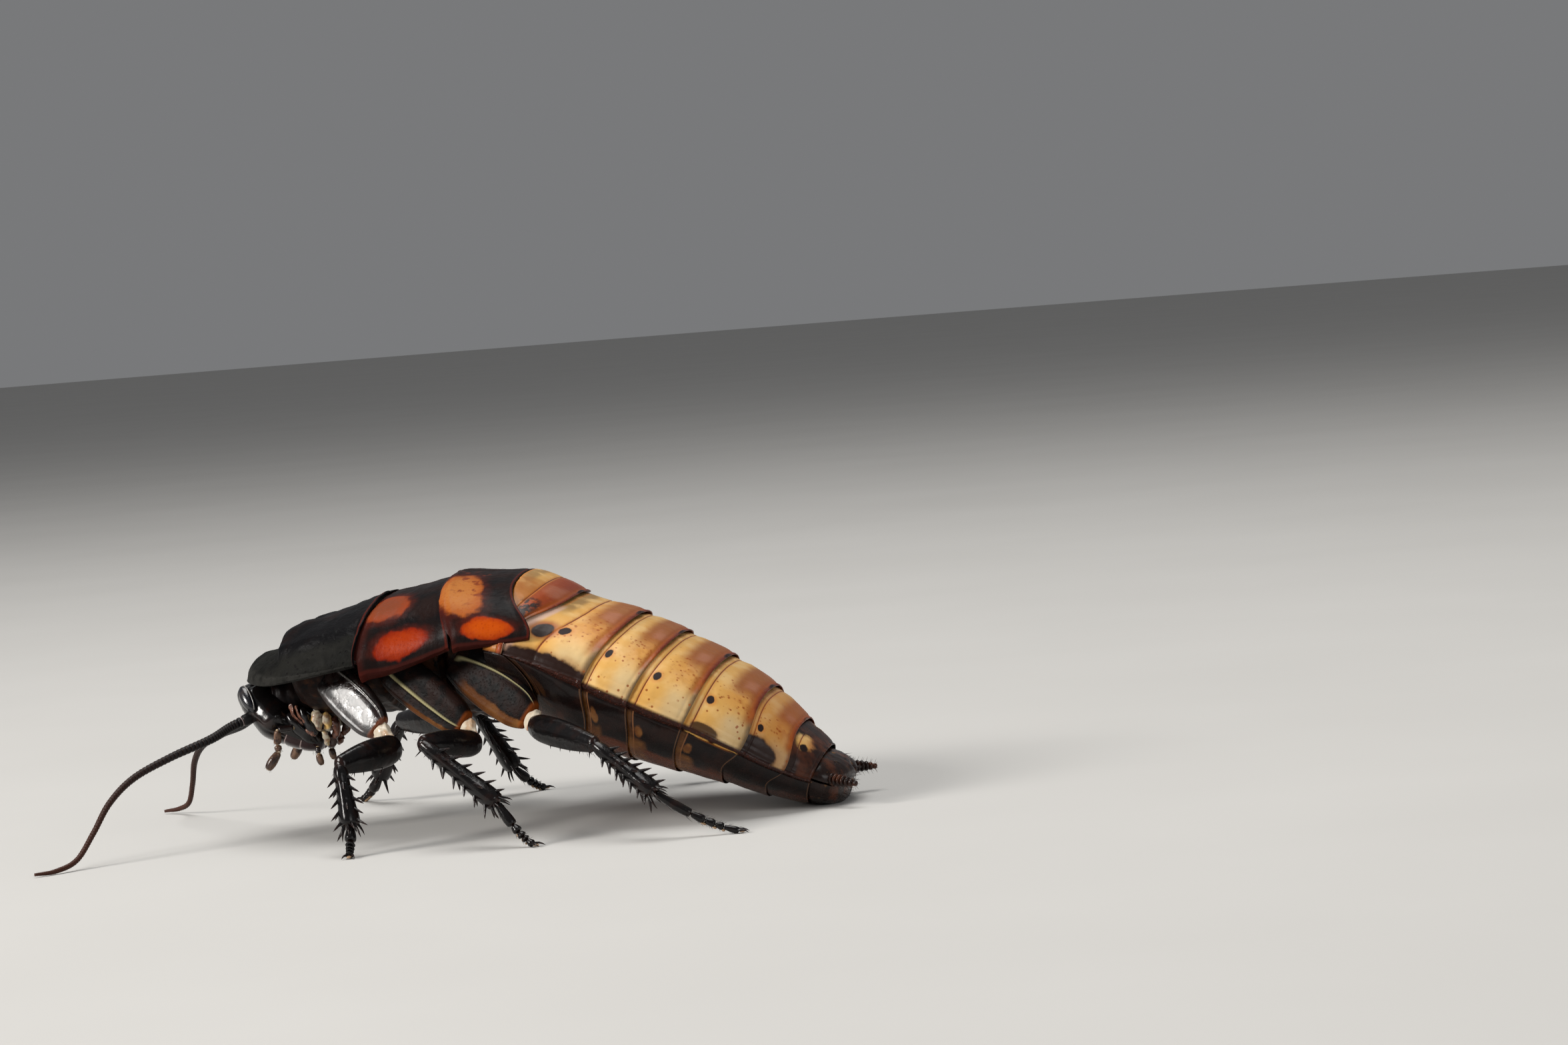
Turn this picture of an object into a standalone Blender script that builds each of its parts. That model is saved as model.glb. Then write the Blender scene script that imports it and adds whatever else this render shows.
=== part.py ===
"""A female hissing cockroach at life size, as a still display model that stands on its own six feet.

Lengths are in millimetres and angles in degrees; add_solid turns them into metres. The head points to -X,
the tail to +X, the animal's left side to -Y, and the floor is Z = 0. A place along the body is the X of
the side line, the line along each flank where the back plates meet the belly plates.
"""

import math

import bmesh
import bpy
import numpy as np
from mathutils import Vector

MILLIMETRE = 0.001
GAP = 0.3  # between neighbouring pieces, which meet face to face
ORIGIN = Vector((-4.05, 0.07, 0.0))  # the middle of the whole model's box, as these numbers place it

# The side line's X and Z, and there the half width, the back's rise above it and the belly's depth below it.
BODY = (
    (-26.4, 16.0, 2.0, 1.0, 1.5),  # tip of the hood
    (-23.5, 15.9, 6.4, 3.2, 3.0),
    (-18.5, 16.5, 7.4, 4.6, 4.6),
    (-11.0, 17.9, 8.0, 6.0, 6.0),  # pronotum ends
    (-4.5, 18.5, 8.6, 6.6, 7.2),  # mesonotum ends
    (1.8, 18.2, 12.6, 7.1, 7.8),  # metanotum ends
    (6.3, 16.7, 13.2, 5.9, 8.2),  # abdomen segment 1 ends
    (11.8, 14.3, 13.6, 6.0, 7.9),
    (15.8, 12.35, 13.6, 5.8, 7.3),
    (20.2, 10.1, 13.0, 5.4, 6.5),
    (24.5, 7.5, 11.5, 4.7, 5.4),
    (28.2, 4.95, 9.2, 3.6, 4.3),  # segment 6 ends
    (31.4, 3.0, 6.4, 2.5, 3.1),  # segment 7 ends
    (34.6, 1.75, 2.4, 1.0, 1.4),  # tip of the tail
)
SQUARENESS = 2.3  # of the body's cross-section: 2 is an ellipse
BELLY_TAPER = (1.0, 2.0, 13.0)  # how much less square the belly is in front, and where that begins and ends
BELLY_LEAN = 0.3  # how far the belly hangs straight down rather than square to the side line
SEGMENT_ENDS = (6.3, 11.8, 15.8, 20.2, 24.5, 28.2, 31.4)
SEGMENT_CORNER = (-3.5, -0.95, -0.55, 0.2, 1.0, 1.0, 0.0)  # how far its rear edge reaches back at the flank
SHORTEST = 1.1  # length of a segment where its edges come together
STEP = 0.45  # a segment's rear edge stands this far over the next one
SIDE_RIM = 0.3  # the back plates' edge stands out this far at the flank

# The shield over the head
SHIELD_WIDTH = 11.9  # half
SHIELD_REAR = -10.6
SHIELD_LENGTH = 15.8
SHIELD_SIDE_POWER = 2.6
SHIELD_FRONT_POWER = 2.2
NOTUM_THICKNESS = 1.0
NOTUM_RIM = 0.5

SPINE_BASE = 0.30  # radius
AROUND_BODY = 36
AROUND_LIMB = 10


def smooth(keys, values, at):
    """The value at `at` of a smooth curve through values, given at rising keys."""
    keys = np.asarray(keys, float)
    values = np.asarray(values, float)
    slopes = np.gradient(values, keys)
    i = int(np.clip(np.searchsorted(keys, at) - 1, 0, len(keys) - 2))
    span = keys[i + 1] - keys[i]
    t = (at - keys[i]) / span
    rise = values[i + 1] - values[i]
    bend = (t**3 - 2 * t**2 + t) * span * slopes[i] + (t**3 - t**2) * span * slopes[i + 1]
    return float(values[i] + (3 * t**2 - 2 * t**3) * rise + bend)


def ease(t):
    """0 below t = 0, 1 above t = 1 and smooth between."""
    t = min(max(t, 0.0), 1.0)
    return t * t * (3 - 2 * t)


def body_size(place, column):
    return smooth([row[0] for row in BODY], [row[column] for row in BODY], place)


def side_line(place):
    """The side line's point there, and the direction that is upright on it."""
    step = 0.05
    z = body_size(place, 1)
    along = Vector((2 * step, 0, body_size(place + step, 1) - body_size(place - step, 1))).normalized()
    return Vector((place, 0, z)), Vector((-along.z, 0, along.x))


def on_body(place, angle, share=1.0, out=0.0):
    """A point of the body's surface. The angle is 0 on the back, 90 at the right flank and 180 below."""
    a = math.radians(angle)
    point, up = side_line(place)
    width = body_size(place, 2)
    height = body_size(place, 3 if math.cos(a) >= 0 else 4)
    square = SQUARENESS
    if math.cos(a) < 0:
        up = up.lerp(Vector((0, 0, 1)), BELLY_LEAN)
        less, start, end = BELLY_TAPER
        square -= less * (1 - ease((place - start) / (end - start)))
    y = math.copysign(abs(math.sin(a)) ** (2 / square), math.sin(a)) * (width + out)
    z = math.copysign(abs(math.cos(a)) ** (2 / square), math.cos(a)) * (height + out)
    return point + share * (y * Vector((0, 1, 0)) + z * up)


def mesh_from_rings(rings, closed_ends=True):
    """A bmesh of rings of points, each joined to the next, with a flat or fanned cap at both ends."""
    mesh = bmesh.new()
    loops = [[mesh.verts.new(p) for p in ring] for ring in rings]
    for a, b in zip(loops, loops[1:]):
        if len(b) == 1:
            for i in range(len(a)):
                mesh.faces.new((a[i], a[(i + 1) % len(a)], b[0]))
        elif len(a) == 1:
            for i in range(len(b)):
                mesh.faces.new((a[0], b[(i + 1) % len(b)], b[i]))
        else:
            for i in range(len(a)):
                j = (i + 1) % len(a)
                mesh.faces.new((a[i], a[j], b[j], b[i]))
    if closed_ends:
        for loop in (loops[0], loops[-1]):
            if len(loop) > 2:
                mesh.faces.new(loop)
    bmesh.ops.recalc_face_normals(mesh, faces=mesh.faces)
    return mesh


def material(name, colour, roughness, metallic=0.0):
    made = bpy.data.materials.get(name)
    if made is None:
        made = bpy.data.materials.new(name)
        made.use_nodes = True
        shader = made.node_tree.nodes["Principled BSDF"]
        shader.inputs["Base Color"].default_value = (*colour, 1)
        shader.inputs["Roughness"].default_value = roughness
        shader.inputs["Metallic"].default_value = metallic
    return made


def add_solid(name, mesh, finish):
    """Adds the bmesh, in millimetres, as one object of that finish, in metres."""
    if mesh.calc_volume(signed=True) < 0:
        bmesh.ops.reverse_faces(mesh, faces=mesh.faces)
    bmesh.ops.translate(mesh, verts=mesh.verts, vec=-ORIGIN)
    bmesh.ops.scale(mesh, verts=mesh.verts, vec=(MILLIMETRE,) * 3)
    bmesh.ops.triangulate(mesh, faces=[f for f in mesh.faces if len(f.verts) > 4])
    data = bpy.data.meshes.new(name)
    mesh.to_mesh(data)
    mesh.free()
    data.shade_smooth()
    data.set_sharp_from_angle(angle=math.radians(40))
    data.materials.append(material(*finish))
    obj = bpy.data.objects.new(name, data)
    bpy.context.scene.collection.objects.link(obj)
    return obj


def cut_at_floor(mesh):
    """Cuts off what reaches below the floor, which leaves a small flat to stand on."""
    cut = bmesh.ops.bisect_plane(
        mesh,
        geom=[*mesh.verts, *mesh.edges, *mesh.faces],
        plane_co=(0, 0, 0),
        plane_no=(0, 0, 1),
        clear_inner=True,
    )
    edges = [e for e in cut["geom_cut"] if isinstance(e, bmesh.types.BMEdge)]
    if edges:
        bmesh.ops.edgeloop_fill(mesh, edges=edges)
        bmesh.ops.recalc_face_normals(mesh, faces=mesh.faces)
    return mesh


def apply_boolean(obj, operation, others):
    """Joins the others to obj or cuts them from it, keeps the largest closed surface, removes the others."""
    group = bpy.data.collections.new(obj.name + "_tools")
    bpy.context.scene.collection.children.link(group)
    for other in others:
        group.objects.link(other)
        bpy.context.scene.collection.objects.unlink(other)
    modifier = obj.modifiers.new(operation.lower(), "BOOLEAN")
    modifier.operation = operation
    modifier.operand_type = "COLLECTION"
    modifier.collection = group
    modifier.solver = "MANIFOLD"
    graph = bpy.context.evaluated_depsgraph_get()
    made = bpy.data.meshes.new_from_object(obj.evaluated_get(graph))
    obj.modifiers.clear()
    obj.data = made
    for other in others:
        bpy.data.objects.remove(other)
    bpy.data.collections.remove(group)
    keep_largest(obj)


def keep_largest(obj):
    mesh = bmesh.new()
    mesh.from_mesh(obj.data)
    bmesh.ops.remove_doubles(mesh, verts=mesh.verts, dist=1e-7)
    left = set(mesh.verts)
    surfaces = []
    while left:
        found = {left.pop()}
        edge = list(found)
        while edge:
            for link in edge.pop().link_edges:
                for vert in link.verts:
                    if vert in left:
                        left.remove(vert)
                        found.add(vert)
                        edge.append(vert)
        surfaces.append(found)
    surfaces.sort(key=lambda found: -sum(f.calc_area() for f in {f for v in found for f in v.link_faces}))
    for found in surfaces[1:]:
        bmesh.ops.delete(mesh, geom=list(found), context="VERTS")
    mesh.to_mesh(obj.data)
    mesh.free()


# Finishes: name, colour, roughness

BLACK = ("black_chitin", (0.012, 0.010, 0.010), 0.22)
DUSTY = ("dusty_black_chitin", (0.030, 0.029, 0.028), 0.55)
PATCHED = ("thorax_plate", (0.060, 0.020, 0.012), 0.28)
CREAM = ("cream_abdomen", (0.80, 0.56, 0.27), 0.30)
DARK_TAIL = ("dark_tail", (0.055, 0.025, 0.018), 0.30)
LEG = ("leg_chitin", (0.018, 0.012, 0.011), 0.20)
FEELER = ("feeler", (0.040, 0.022, 0.018), 0.50)
EYE = ("eye", (0.006, 0.006, 0.008), 0.08)
PALP = ("palp", (0.16, 0.075, 0.040), 0.32)


# The three plates over the thorax


def dome(share):
    """Height of an arched plate, from 1 on the midline to 0 at its edge."""
    return max(0.0, 1 - abs(share) ** 2.3) ** 0.5


def shield_width(place):
    """Half width of the pronotum, which closes to a rounded hood over the head."""
    back = min(max((SHIELD_REAR - place) / SHIELD_LENGTH, 0.0), 1.0)
    return SHIELD_WIDTH * (1 - back**SHIELD_SIDE_POWER) ** (1 / SHIELD_FRONT_POWER)


SHIELD_RISE = (
    (-26.4, 0.2),
    (-26.0, 1.1),
    (-25.2, 1.8),
    (-23.4, 2.7),
    (-21.4, 3.2),
    (-16.0, 4.4),
    (-10.6, 5.8),
)
DISC_FRONT = -21.4  # where the raised disc starts behind the hood
DISC_RAMP = 0.9
DISC_HEIGHT = 1.15
DISC_MARGIN = 1.5
BUMP = (-19.2, 4.3, 2.6, 0.5)  # each of the two low humps: place, distance from the midline, radius, height
HOOD_LIFT = 0.8


def shield_height(place, y):
    """Height of the pronotum's top over the side line."""
    width = max(shield_width(place), 0.01)
    share = min(abs(y) / width, 1.0)
    rise = smooth([k for k, _ in SHIELD_RISE], [h for _, h in SHIELD_RISE], max(place, SHIELD_RISE[0][0]))
    front = ease((place - DISC_FRONT) / DISC_RAMP)
    side = ease((width - DISC_MARGIN * (1.5 - 0.5 * front) - abs(y)) / 1.6 + 0.5)
    fade = 1 - 0.8 * ease((place - DISC_FRONT - 3.0) / 8.0)
    bump_place, bump_y, bump_radius, bump_height = BUMP
    off = math.hypot(place - bump_place, abs(y) - bump_y) / bump_radius
    bump = bump_height * ease(1.3 - off) * front
    lift = HOOD_LIFT * ease((-22.0 - place) / 4.0) * (1 - 0.8 * share)
    return lift + rise * dome(share) + DISC_HEIGHT * front * side * fade + bump


def shield_front(share):
    """Place of the pronotum's front edge, at a share of its half width."""
    return SHIELD_REAR - SHIELD_LENGTH * (1 - abs(share) ** SHIELD_FRONT_POWER) ** (1 / SHIELD_SIDE_POWER)


# The two plates behind it. Edges are the place on the midline, then what is added at the side times the
# second and the sixth power of the share across.
MESONOTUM = {
    "front": (SHIELD_REAR + 0.45, -0.8, -1.3),
    "rear": (-4.0, 0.5, 1.0),
    "width": (11.7, 12.6),  # half, front and rear
    "lift": (-1.5, 0.3, 1.5),  # of the side edge over the side line, front and rear, and how late it rises
    "rise": (7.3, 6.7),  # of the midline over the side edge
}
METANOTUM = {
    "front": (-3.65, 0.5, 1.0),
    "rear": (1.8, 0.1, 3.1),
    "width": (12.6, 13.3),
    "lift": (0.1, 2.3, 2.5),
    "rise": (6.9, 5.9),
}
METANOTUM_THICKNESS = 0.7


def edge_place(edge, share):
    base, second, sixth = edge
    return base + second * share**2 + sixth * share**6


def notum_surface(shape):
    """The front, rear, height and Y functions of such a plate, as `plate` takes them."""
    front, rear = shape["front"][0], shape["rear"][0] + sum(shape["rear"][1:])

    def part_way(place, pair, power=1.0):
        t = min(max((place - front) / (rear - front), 0.0), 1.0)
        return pair[0] + (pair[1] - pair[0]) * t**power

    def height(place, share):
        low, high, late = shape["lift"]
        return part_way(place, (low, high), late) + part_way(place, shape["rise"]) * dome(share)

    return {
        "front": lambda share: edge_place(shape["front"], share),
        "rear": lambda share: edge_place(shape["rear"], share),
        "height": height,
        "y_of": lambda place, share: share * part_way(place, shape["width"]),
    }


def shield_surface():
    def rear(share):
        return edge_place((SHIELD_REAR + 0.15, -0.8, -1.3), share)

    return {
        "front": lambda share: min(shield_front(share), rear(share) - 0.9),
        "rear": rear,
        "height": lambda place, share: shield_height(place, share * SHIELD_WIDTH),
        "y_of": lambda place, share: share * SHIELD_WIDTH,
    }


def plate_point(surface, share, v, down=0.0, thickness=0.0, rim=0.0, inward=0.0):
    """A point of a plate at a share across, -1 to 1, and v of the way from front to rear; down 0 is its top
    and 1 its underside, which lies lower and, at the sides, further in."""
    front, rear = surface["front"](share), surface["rear"](share)
    place = front + (rear - front) * v
    point, up = side_line(place)
    edge = max(abs(share) ** 6, 1 - ease(v * 4))
    drop = down * (thickness + (rim - thickness) * edge)
    y = surface["y_of"](place, share) - down * inward * abs(share) * share
    return point + up * (surface["height"](place, share) - drop) + Vector((0, y, 0))


def plate(surface, columns, rows, thickness, rim, inward=NOTUM_RIM):
    """A closed, arched plate."""
    shares = [math.sin(math.radians(90 * (2 * i / columns - 1))) for i in range(columns + 1)]
    mesh = bmesh.new()

    def sheet(down):
        form = (down, thickness, rim, inward)
        return [
            [mesh.verts.new(plate_point(surface, share, v / rows, *form)) for share in shares]
            for v in range(rows + 1)
        ]

    top, under = sheet(0), sheet(1)
    for v in range(rows):
        for u in range(columns):
            mesh.faces.new((top[v][u], top[v][u + 1], top[v + 1][u + 1], top[v + 1][u]))
            mesh.faces.new((under[v][u], under[v + 1][u], under[v + 1][u + 1], under[v][u + 1]))
    for v in range(rows):
        for u in (0, columns):
            mesh.faces.new((top[v][u], top[v + 1][u], under[v + 1][u], under[v][u]))
    for u in range(columns):
        for v in (0, rows):
            mesh.faces.new((top[v][u], top[v][u + 1], under[v][u + 1], under[v][u]))
    bmesh.ops.recalc_face_normals(mesh, faces=mesh.faces)
    return mesh


# Trunk below the plates, in three lengths


TRUNK = {"prothorax": (-20.6, -11.2), "mesothorax": (-10.9, -4.7), "metathorax": (-4.4, 1.6)}
TRUNK_WIDTH = 7.6  # half


def trunk_mesh(front, rear, grow=0.0):
    """One length of the thorax's trunk: narrower than the plates over it and rounded below."""
    rings = []
    for t in (0.0, 0.05, 0.35, 0.65, 0.95, 1.0):
        place = front - grow + (rear - front + 2 * grow) * t
        point, up = side_line(place)
        width = min(body_size(place, 2) - 0.6, TRUNK_WIDTH)
        top = body_size(place, 3) - 1.9
        below = body_size(place, 4)
        narrow = 0.93 if t in (0.0, 1.0) else 1.0
        ring = []
        for i in range(24):
            a = 2 * math.pi * i / 24
            z = math.cos(a) * (top if math.cos(a) > 0 else below)
            across = Vector((0, math.sin(a) * width, 0)) + up * z
            ring.append(point + across * (narrow + grow / max(across.length, 1.0)))
        rings.append(ring)
    return mesh_from_rings(rings)


# Abdomen


def corner_share(angle):
    """1 near the flank on the back's side and 0 on the midline and below."""
    side = abs(math.sin(math.radians(angle))) ** 3
    below = min(0.0, math.cos(math.radians(angle)))
    return side * ease(1 + 2 * below)


def segment_rear(index, angle):
    """Place of a segment's rear edge at an angle."""
    rear = SEGMENT_ENDS[index] + SEGMENT_CORNER[index] * corner_share(angle)
    return max(rear, METANOTUM["rear"][0] + SHORTEST)


def segment_face(index, angle, share, offset):
    """Place of a segment's rear face there, at a share of the radius: flat within and curved at its rim."""
    middle = SEGMENT_ENDS[index]
    return middle + (segment_rear(index, angle) - middle) * ease((share - 0.4) / 0.4) + offset


def abdomen_segment(index):
    """One ring of the abdomen: a back plate and a belly plate, stepped out at its rear edge."""
    angles = [360 * i / AROUND_BODY for i in range(AROUND_BODY)]
    start = METANOTUM["rear"][0]

    def ring(v, share):
        points = []
        for angle in angles:
            front = segment_face(index - 1, angle, share, GAP / 2) if index else start + GAP / 2
            rear = segment_face(index, angle, share, -GAP / 2)
            rim = SIDE_RIM * max(0.0, 1 - abs(abs(((angle + 180) % 360) - 180) - 90) / 9)
            points.append(on_body(front + (rear - front) * v, angle, share, (STEP * v + rim) * share))
        return points

    front = (SEGMENT_ENDS[index - 1] if index else start) + GAP / 2
    rings = [[on_body(front, 0, 0.0)], ring(0.0, 0.8)]
    rings += [ring(v, 1.0) for v in (0.0, 0.4, 0.8, 1.0)]
    rings += [ring(1.0, 0.8), [on_body(SEGMENT_ENDS[index] - GAP / 2, 0, 0.0)]]
    mesh = mesh_from_rings(rings, closed_ends=False)
    if index >= 5:
        cut_at_floor(mesh)
    obj = add_solid(f"abdomen_{index + 1}", mesh, CREAM if index < 6 else DARK_TAIL)
    if index < 2:
        carve(obj, add_solid("metanotum_cutter", grown_metanotum(), BLACK))
    return obj


def grown_metanotum():
    """The metanotum, larger by the gap: the first segments pass under its drawn-out corners."""
    shape = dict(METANOTUM)
    base, second, sixth = shape["rear"]
    shape["rear"] = (base + GAP, second, sixth)
    shape["width"] = tuple(w + GAP for w in shape["width"])
    low, high, late = shape["lift"]
    shape["lift"] = (low + GAP, high + GAP, late)
    grown = 2 * GAP
    return plate(
        notum_surface(shape), 20, 5, METANOTUM_THICKNESS + grown, NOTUM_RIM + grown, NOTUM_RIM + grown
    )


def tail_plate(name, back):
    """The last back plate, or with back False the last belly plate: half a ring with a blunt tip."""
    front = SEGMENT_ENDS[-1] + GAP
    length = BODY[-1][0] - front
    columns = 14
    turn = 1 if back else -1
    height = body_size(front, 3 if back else 4) - GAP / 2
    rings = []
    for t in (0.0, 0.3, 0.6, 0.85, 0.97):
        shrink = (1 - t**3.2) ** 0.5
        point, up = side_line(front + length * t)
        width = body_size(front, 2) * shrink
        ring = []
        for i in range(columns + 1):
            a = math.pi * (i / columns - 0.5)
            rise = GAP / 2 + math.cos(a) * height * (0.4 + 0.6 * shrink)
            ring.append(point + Vector((0, math.sin(a) * width, 0)) + up * turn * rise)
        rings.append(ring)
    mesh = mesh_from_rings(rings)
    cut_at_floor(mesh)
    obj = add_solid(name, mesh, DARK_TAIL)
    cutters = [add_solid("cercus_cutter", cercus_mesh(side, GAP), BLACK) for side in (-1, 1)]
    apply_boolean(obj, "DIFFERENCE", cutters)
    return obj


# Round, tapering limbs


def frame_along(direction, flat):
    """Two directions across a limb: the one nearest `flat`, and the one square to both."""
    across = flat - direction * flat.dot(direction)
    across.normalize()
    return across, direction.cross(across)


def limb_mesh(path, sizes, flat, around=AROUND_LIMB, blunt=0.55):
    """A closed limb along the path. sizes holds, for each point, the half size along `flat` and across it.
    Its ends are rounded off within the path's own length."""
    points = [Vector(p) for p in path]
    rings = []
    for i, point in enumerate(points):
        before, after = points[max(i - 1, 0)], points[min(i + 1, len(points) - 1)]
        direction = (after - before).normalized()
        across, square = frame_along(direction, Vector(flat))
        a_size, b_size = sizes[i]
        shrink = blunt if i in (0, len(points) - 1) else 1.0
        ring = []
        for k in range(around):
            a = 2 * math.pi * (k + 0.5) / around
            ring.append(point + (across * math.cos(a) * a_size + square * math.sin(a) * b_size) * shrink)
        rings.append(ring)
    return mesh_from_rings(rings)


def along(start, end, shares):
    start, end = Vector(start), Vector(end)
    return [start + (end - start) * t for t in shares]


def spine_mesh(root, tip, radius, sides=4):
    """A tapering spine of few sides, its root a ring inside the limb."""
    root, tip = Vector(root), Vector(tip)
    direction = (tip - root).normalized()
    guide = Vector((0, 0, 1)) if abs(direction.z) < 0.8 else Vector((1, 0, 0))
    across, square = frame_along(direction, guide)
    rings = []
    turns = [2 * math.pi * k / sides for k in range(sides)]
    rings.append([root + (across * math.cos(a) + square * math.sin(a)) * radius for a in turns])
    rings.append([tip])
    return mesh_from_rings(rings)


def join_spines(obj, spines):
    """Fuses spines, given as root, tip and radius, into the limb."""
    apply_boolean(obj, "UNION", [add_solid("spine", spine_mesh(*spine), LEG) for spine in spines])


# Legs. Each joint is X, Y, Z, with Y taken outwards; the right legs stand a little further forward.
JOINTS = ("hip", "coxa_end", "femur_root", "knee", "ankle", "toe")
LEGS = {
    ("front", -1): ((-16.0, 7.6, 16.2), (-10.4, 11.5, 11.0), (-9.0, 12.6, 9.2), (-12.6, 19.5, 8.6),
                    (-11.4, 21.5, 2.7), (-11.2, 23.6, 0.05)),
    ("mid", -1): ((-9.4, 8.0, 16.6), (-1.5, 12.0, 11.0), (-0.7, 13.0, 9.3), (-4.0, 20.0, 10.3),
                  (3.4, 21.5, 4.2), (6.8, 22.6, 0.05)),
    ("hind", -1): ((-2.4, 8.2, 17.2), (5.2, 12.4, 11.4), (5.9, 13.4, 10.6), (13.0, 20.0, 9.2),
                   (19.0, 22.0, 4.4), (26.6, 21.0, 0.05)),
    ("front", 1): ((-16.0, 7.6, 16.2), (-10.4, 11.5, 11.0), (-9.4, 12.4, 9.2), (-16.2, 18.2, 8.8),
                   (-19.6, 20.0, 2.6), (-22.2, 22.6, 0.05)),
    ("mid", 1): ((-9.4, 8.0, 16.6), (-1.5, 12.0, 11.0), (-0.9, 12.9, 9.4), (-8.6, 18.4, 10.4),
                 (-4.8, 20.6, 2.7), (-2.4, 23.4, 0.05)),
    ("hind", 1): ((-2.4, 8.2, 17.2), (5.2, 12.4, 11.4), (5.8, 13.3, 10.6), (10.6, 19.8, 10.2),
                  (14.6, 21.4, 3.0), (20.4, 23.8, 0.05)),
}
COXA_WIDTH = {"front": 1.95, "mid": 1.95, "hind": 2.3}  # half
FEMUR_DEPTH = {"front": 1.5, "mid": 1.35, "hind": 1.4}  # half
SHIN = {"front": 0.90, "mid": 0.88, "hind": 0.84}  # radius
FOOT = {"front": 0.70, "mid": 0.66, "hind": 0.60}  # radius
SPINES = {"front": 4, "mid": 5, "hind": 6}  # in each of the two outer rows
COXA_THICKNESS = 1.15  # half
JOINT_OVERLAP = 0.3  # a shin or foot starts this far past its joint, before it is cut to fit the one above it


def leg_joints(name, side):
    """The joints of one leg, with `side` -1 for left and 1 for right."""
    return {key: Vector((x, side * y, z)) for key, (x, y, z) in zip(JOINTS, LEGS[name, side])}


def side_name(side):
    return "left" if side < 0 else "right"


def coxa(name, side):
    """The leg's broad, flat first plate, which lies against the trunk."""
    joints = leg_joints(name, side)
    hip, end = joints["hip"], joints["coxa_end"]
    direction = (end - hip).normalized()
    width = COXA_WIDTH[name]
    shares = (0.0, 0.1, 0.35, 0.65, 0.85)
    wide = (0.75, 0.95, 1.0, 1.0, 0.85, 0.62, 0.5)
    thick = (0.8, 0.95, 1.0, 1.0, 0.9, 0.85, 0.75)
    sizes = [(width * w, COXA_THICKNESS * d) for w, d in zip(wide, thick)]
    flat = direction.cross(Vector((0, 1, 0)))
    path = along(hip, end, shares) + along(end, joints["femur_root"], (0.1, 0.7))
    mesh = limb_mesh(path, sizes, flat, around=12, blunt=0.8)
    obj = add_solid(f"{name}_leg_{side_name(side)}_coxa", mesh, BLACK)
    cutters = [add_solid("trunk_cutter", trunk_mesh(*ends, GAP), BLACK) for ends in TRUNK.values()]
    cutters.append(add_solid("femur_cutter", femur_mesh(name, side, GAP), BLACK))
    cutters.append(add_solid("abdomen_cutter", mesh_from_rings(belly_rings()), BLACK))
    apply_boolean(obj, "DIFFERENCE", cutters)
    return obj


def belly_rings():
    """The front of the abdomen, grown by the gap."""
    rings = []
    for place in (METANOTUM["rear"][0] - GAP, 3.0, 6.3, 9.0, 11.8):
        rings.append([on_body(place, 360 * i / AROUND_BODY, 1.0, STEP + GAP) for i in range(AROUND_BODY)])
    return rings


def femur_mesh(name, side, grow=0.0):
    joints = leg_joints(name, side)
    root, knee = joints["femur_root"], joints["knee"]
    direction = (knee - root).normalized()
    depth = FEMUR_DEPTH[name]
    start, stop = root - direction * (0.9 + grow), knee + direction * (0.3 + grow)
    shares = (0.0, 0.1, 0.3, 0.6, 0.88, 1.0)
    shape = (0.62, 0.86, 1.0, 0.95, 0.68, 0.56)
    sizes = [(depth * w + grow, 0.74 * depth * w + grow) for w in shape]
    return limb_mesh(along(start, stop, shares), sizes, Vector((0, 0, 1)))


def femur(name, side):
    return add_solid(f"{name}_leg_{side_name(side)}_femur", femur_mesh(name, side), LEG)


def tibia_spines(name, side, start, ankle):
    """Rows of spines along the shin, longest at its end."""
    direction = (ankle - start).normalized()
    across, square = frame_along(direction, Vector((0, side, 0.15)))
    length = (ankle - start).length
    spines = []
    count = SPINES[name]
    for row, turn in enumerate((-65, 60, 175)):
        a = math.radians(turn)
        away = across * math.cos(a) + square * math.sin(a)
        for i in range(count if row < 2 else count - 2):
            t = 0.24 + 0.70 * (i + 0.35 * (row % 2)) / (count - 0.6)
            root = start + direction * length * min(t, 0.95) + away * 0.25
            reach = 1.5 + 0.5 * t
            spines.append((root, root + away * reach + direction * reach * 0.75, SPINE_BASE))
    return spines


def tibia_mesh(name, side, grow=0.0):
    joints = leg_joints(name, side)
    knee, ankle = joints["knee"], joints["ankle"]
    direction = (ankle - knee).normalized()
    start = knee + direction * (JOINT_OVERLAP - grow)
    shares = (0.0, 0.12, 0.5, 0.9, 1.0)
    radii = [SHIN[name] * w for w in (0.85, 0.9, 1.0, 1.15, 1.05)]
    sizes = [(radius + grow, radius * 0.9 + grow) for radius in radii]
    path = along(start, ankle + direction * grow, shares)
    return limb_mesh(path, sizes, Vector((0, side, 0.15)), blunt=0.75)


def tibia(name, side):
    joints = leg_joints(name, side)
    obj = add_solid(f"{name}_leg_{side_name(side)}_tibia", tibia_mesh(name, side), LEG)
    carve(obj, add_solid("femur_cutter", femur_mesh(name, side, GAP), LEG))
    join_spines(obj, tibia_spines(name, side, joints["knee"], joints["ankle"]))
    return obj


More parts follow.
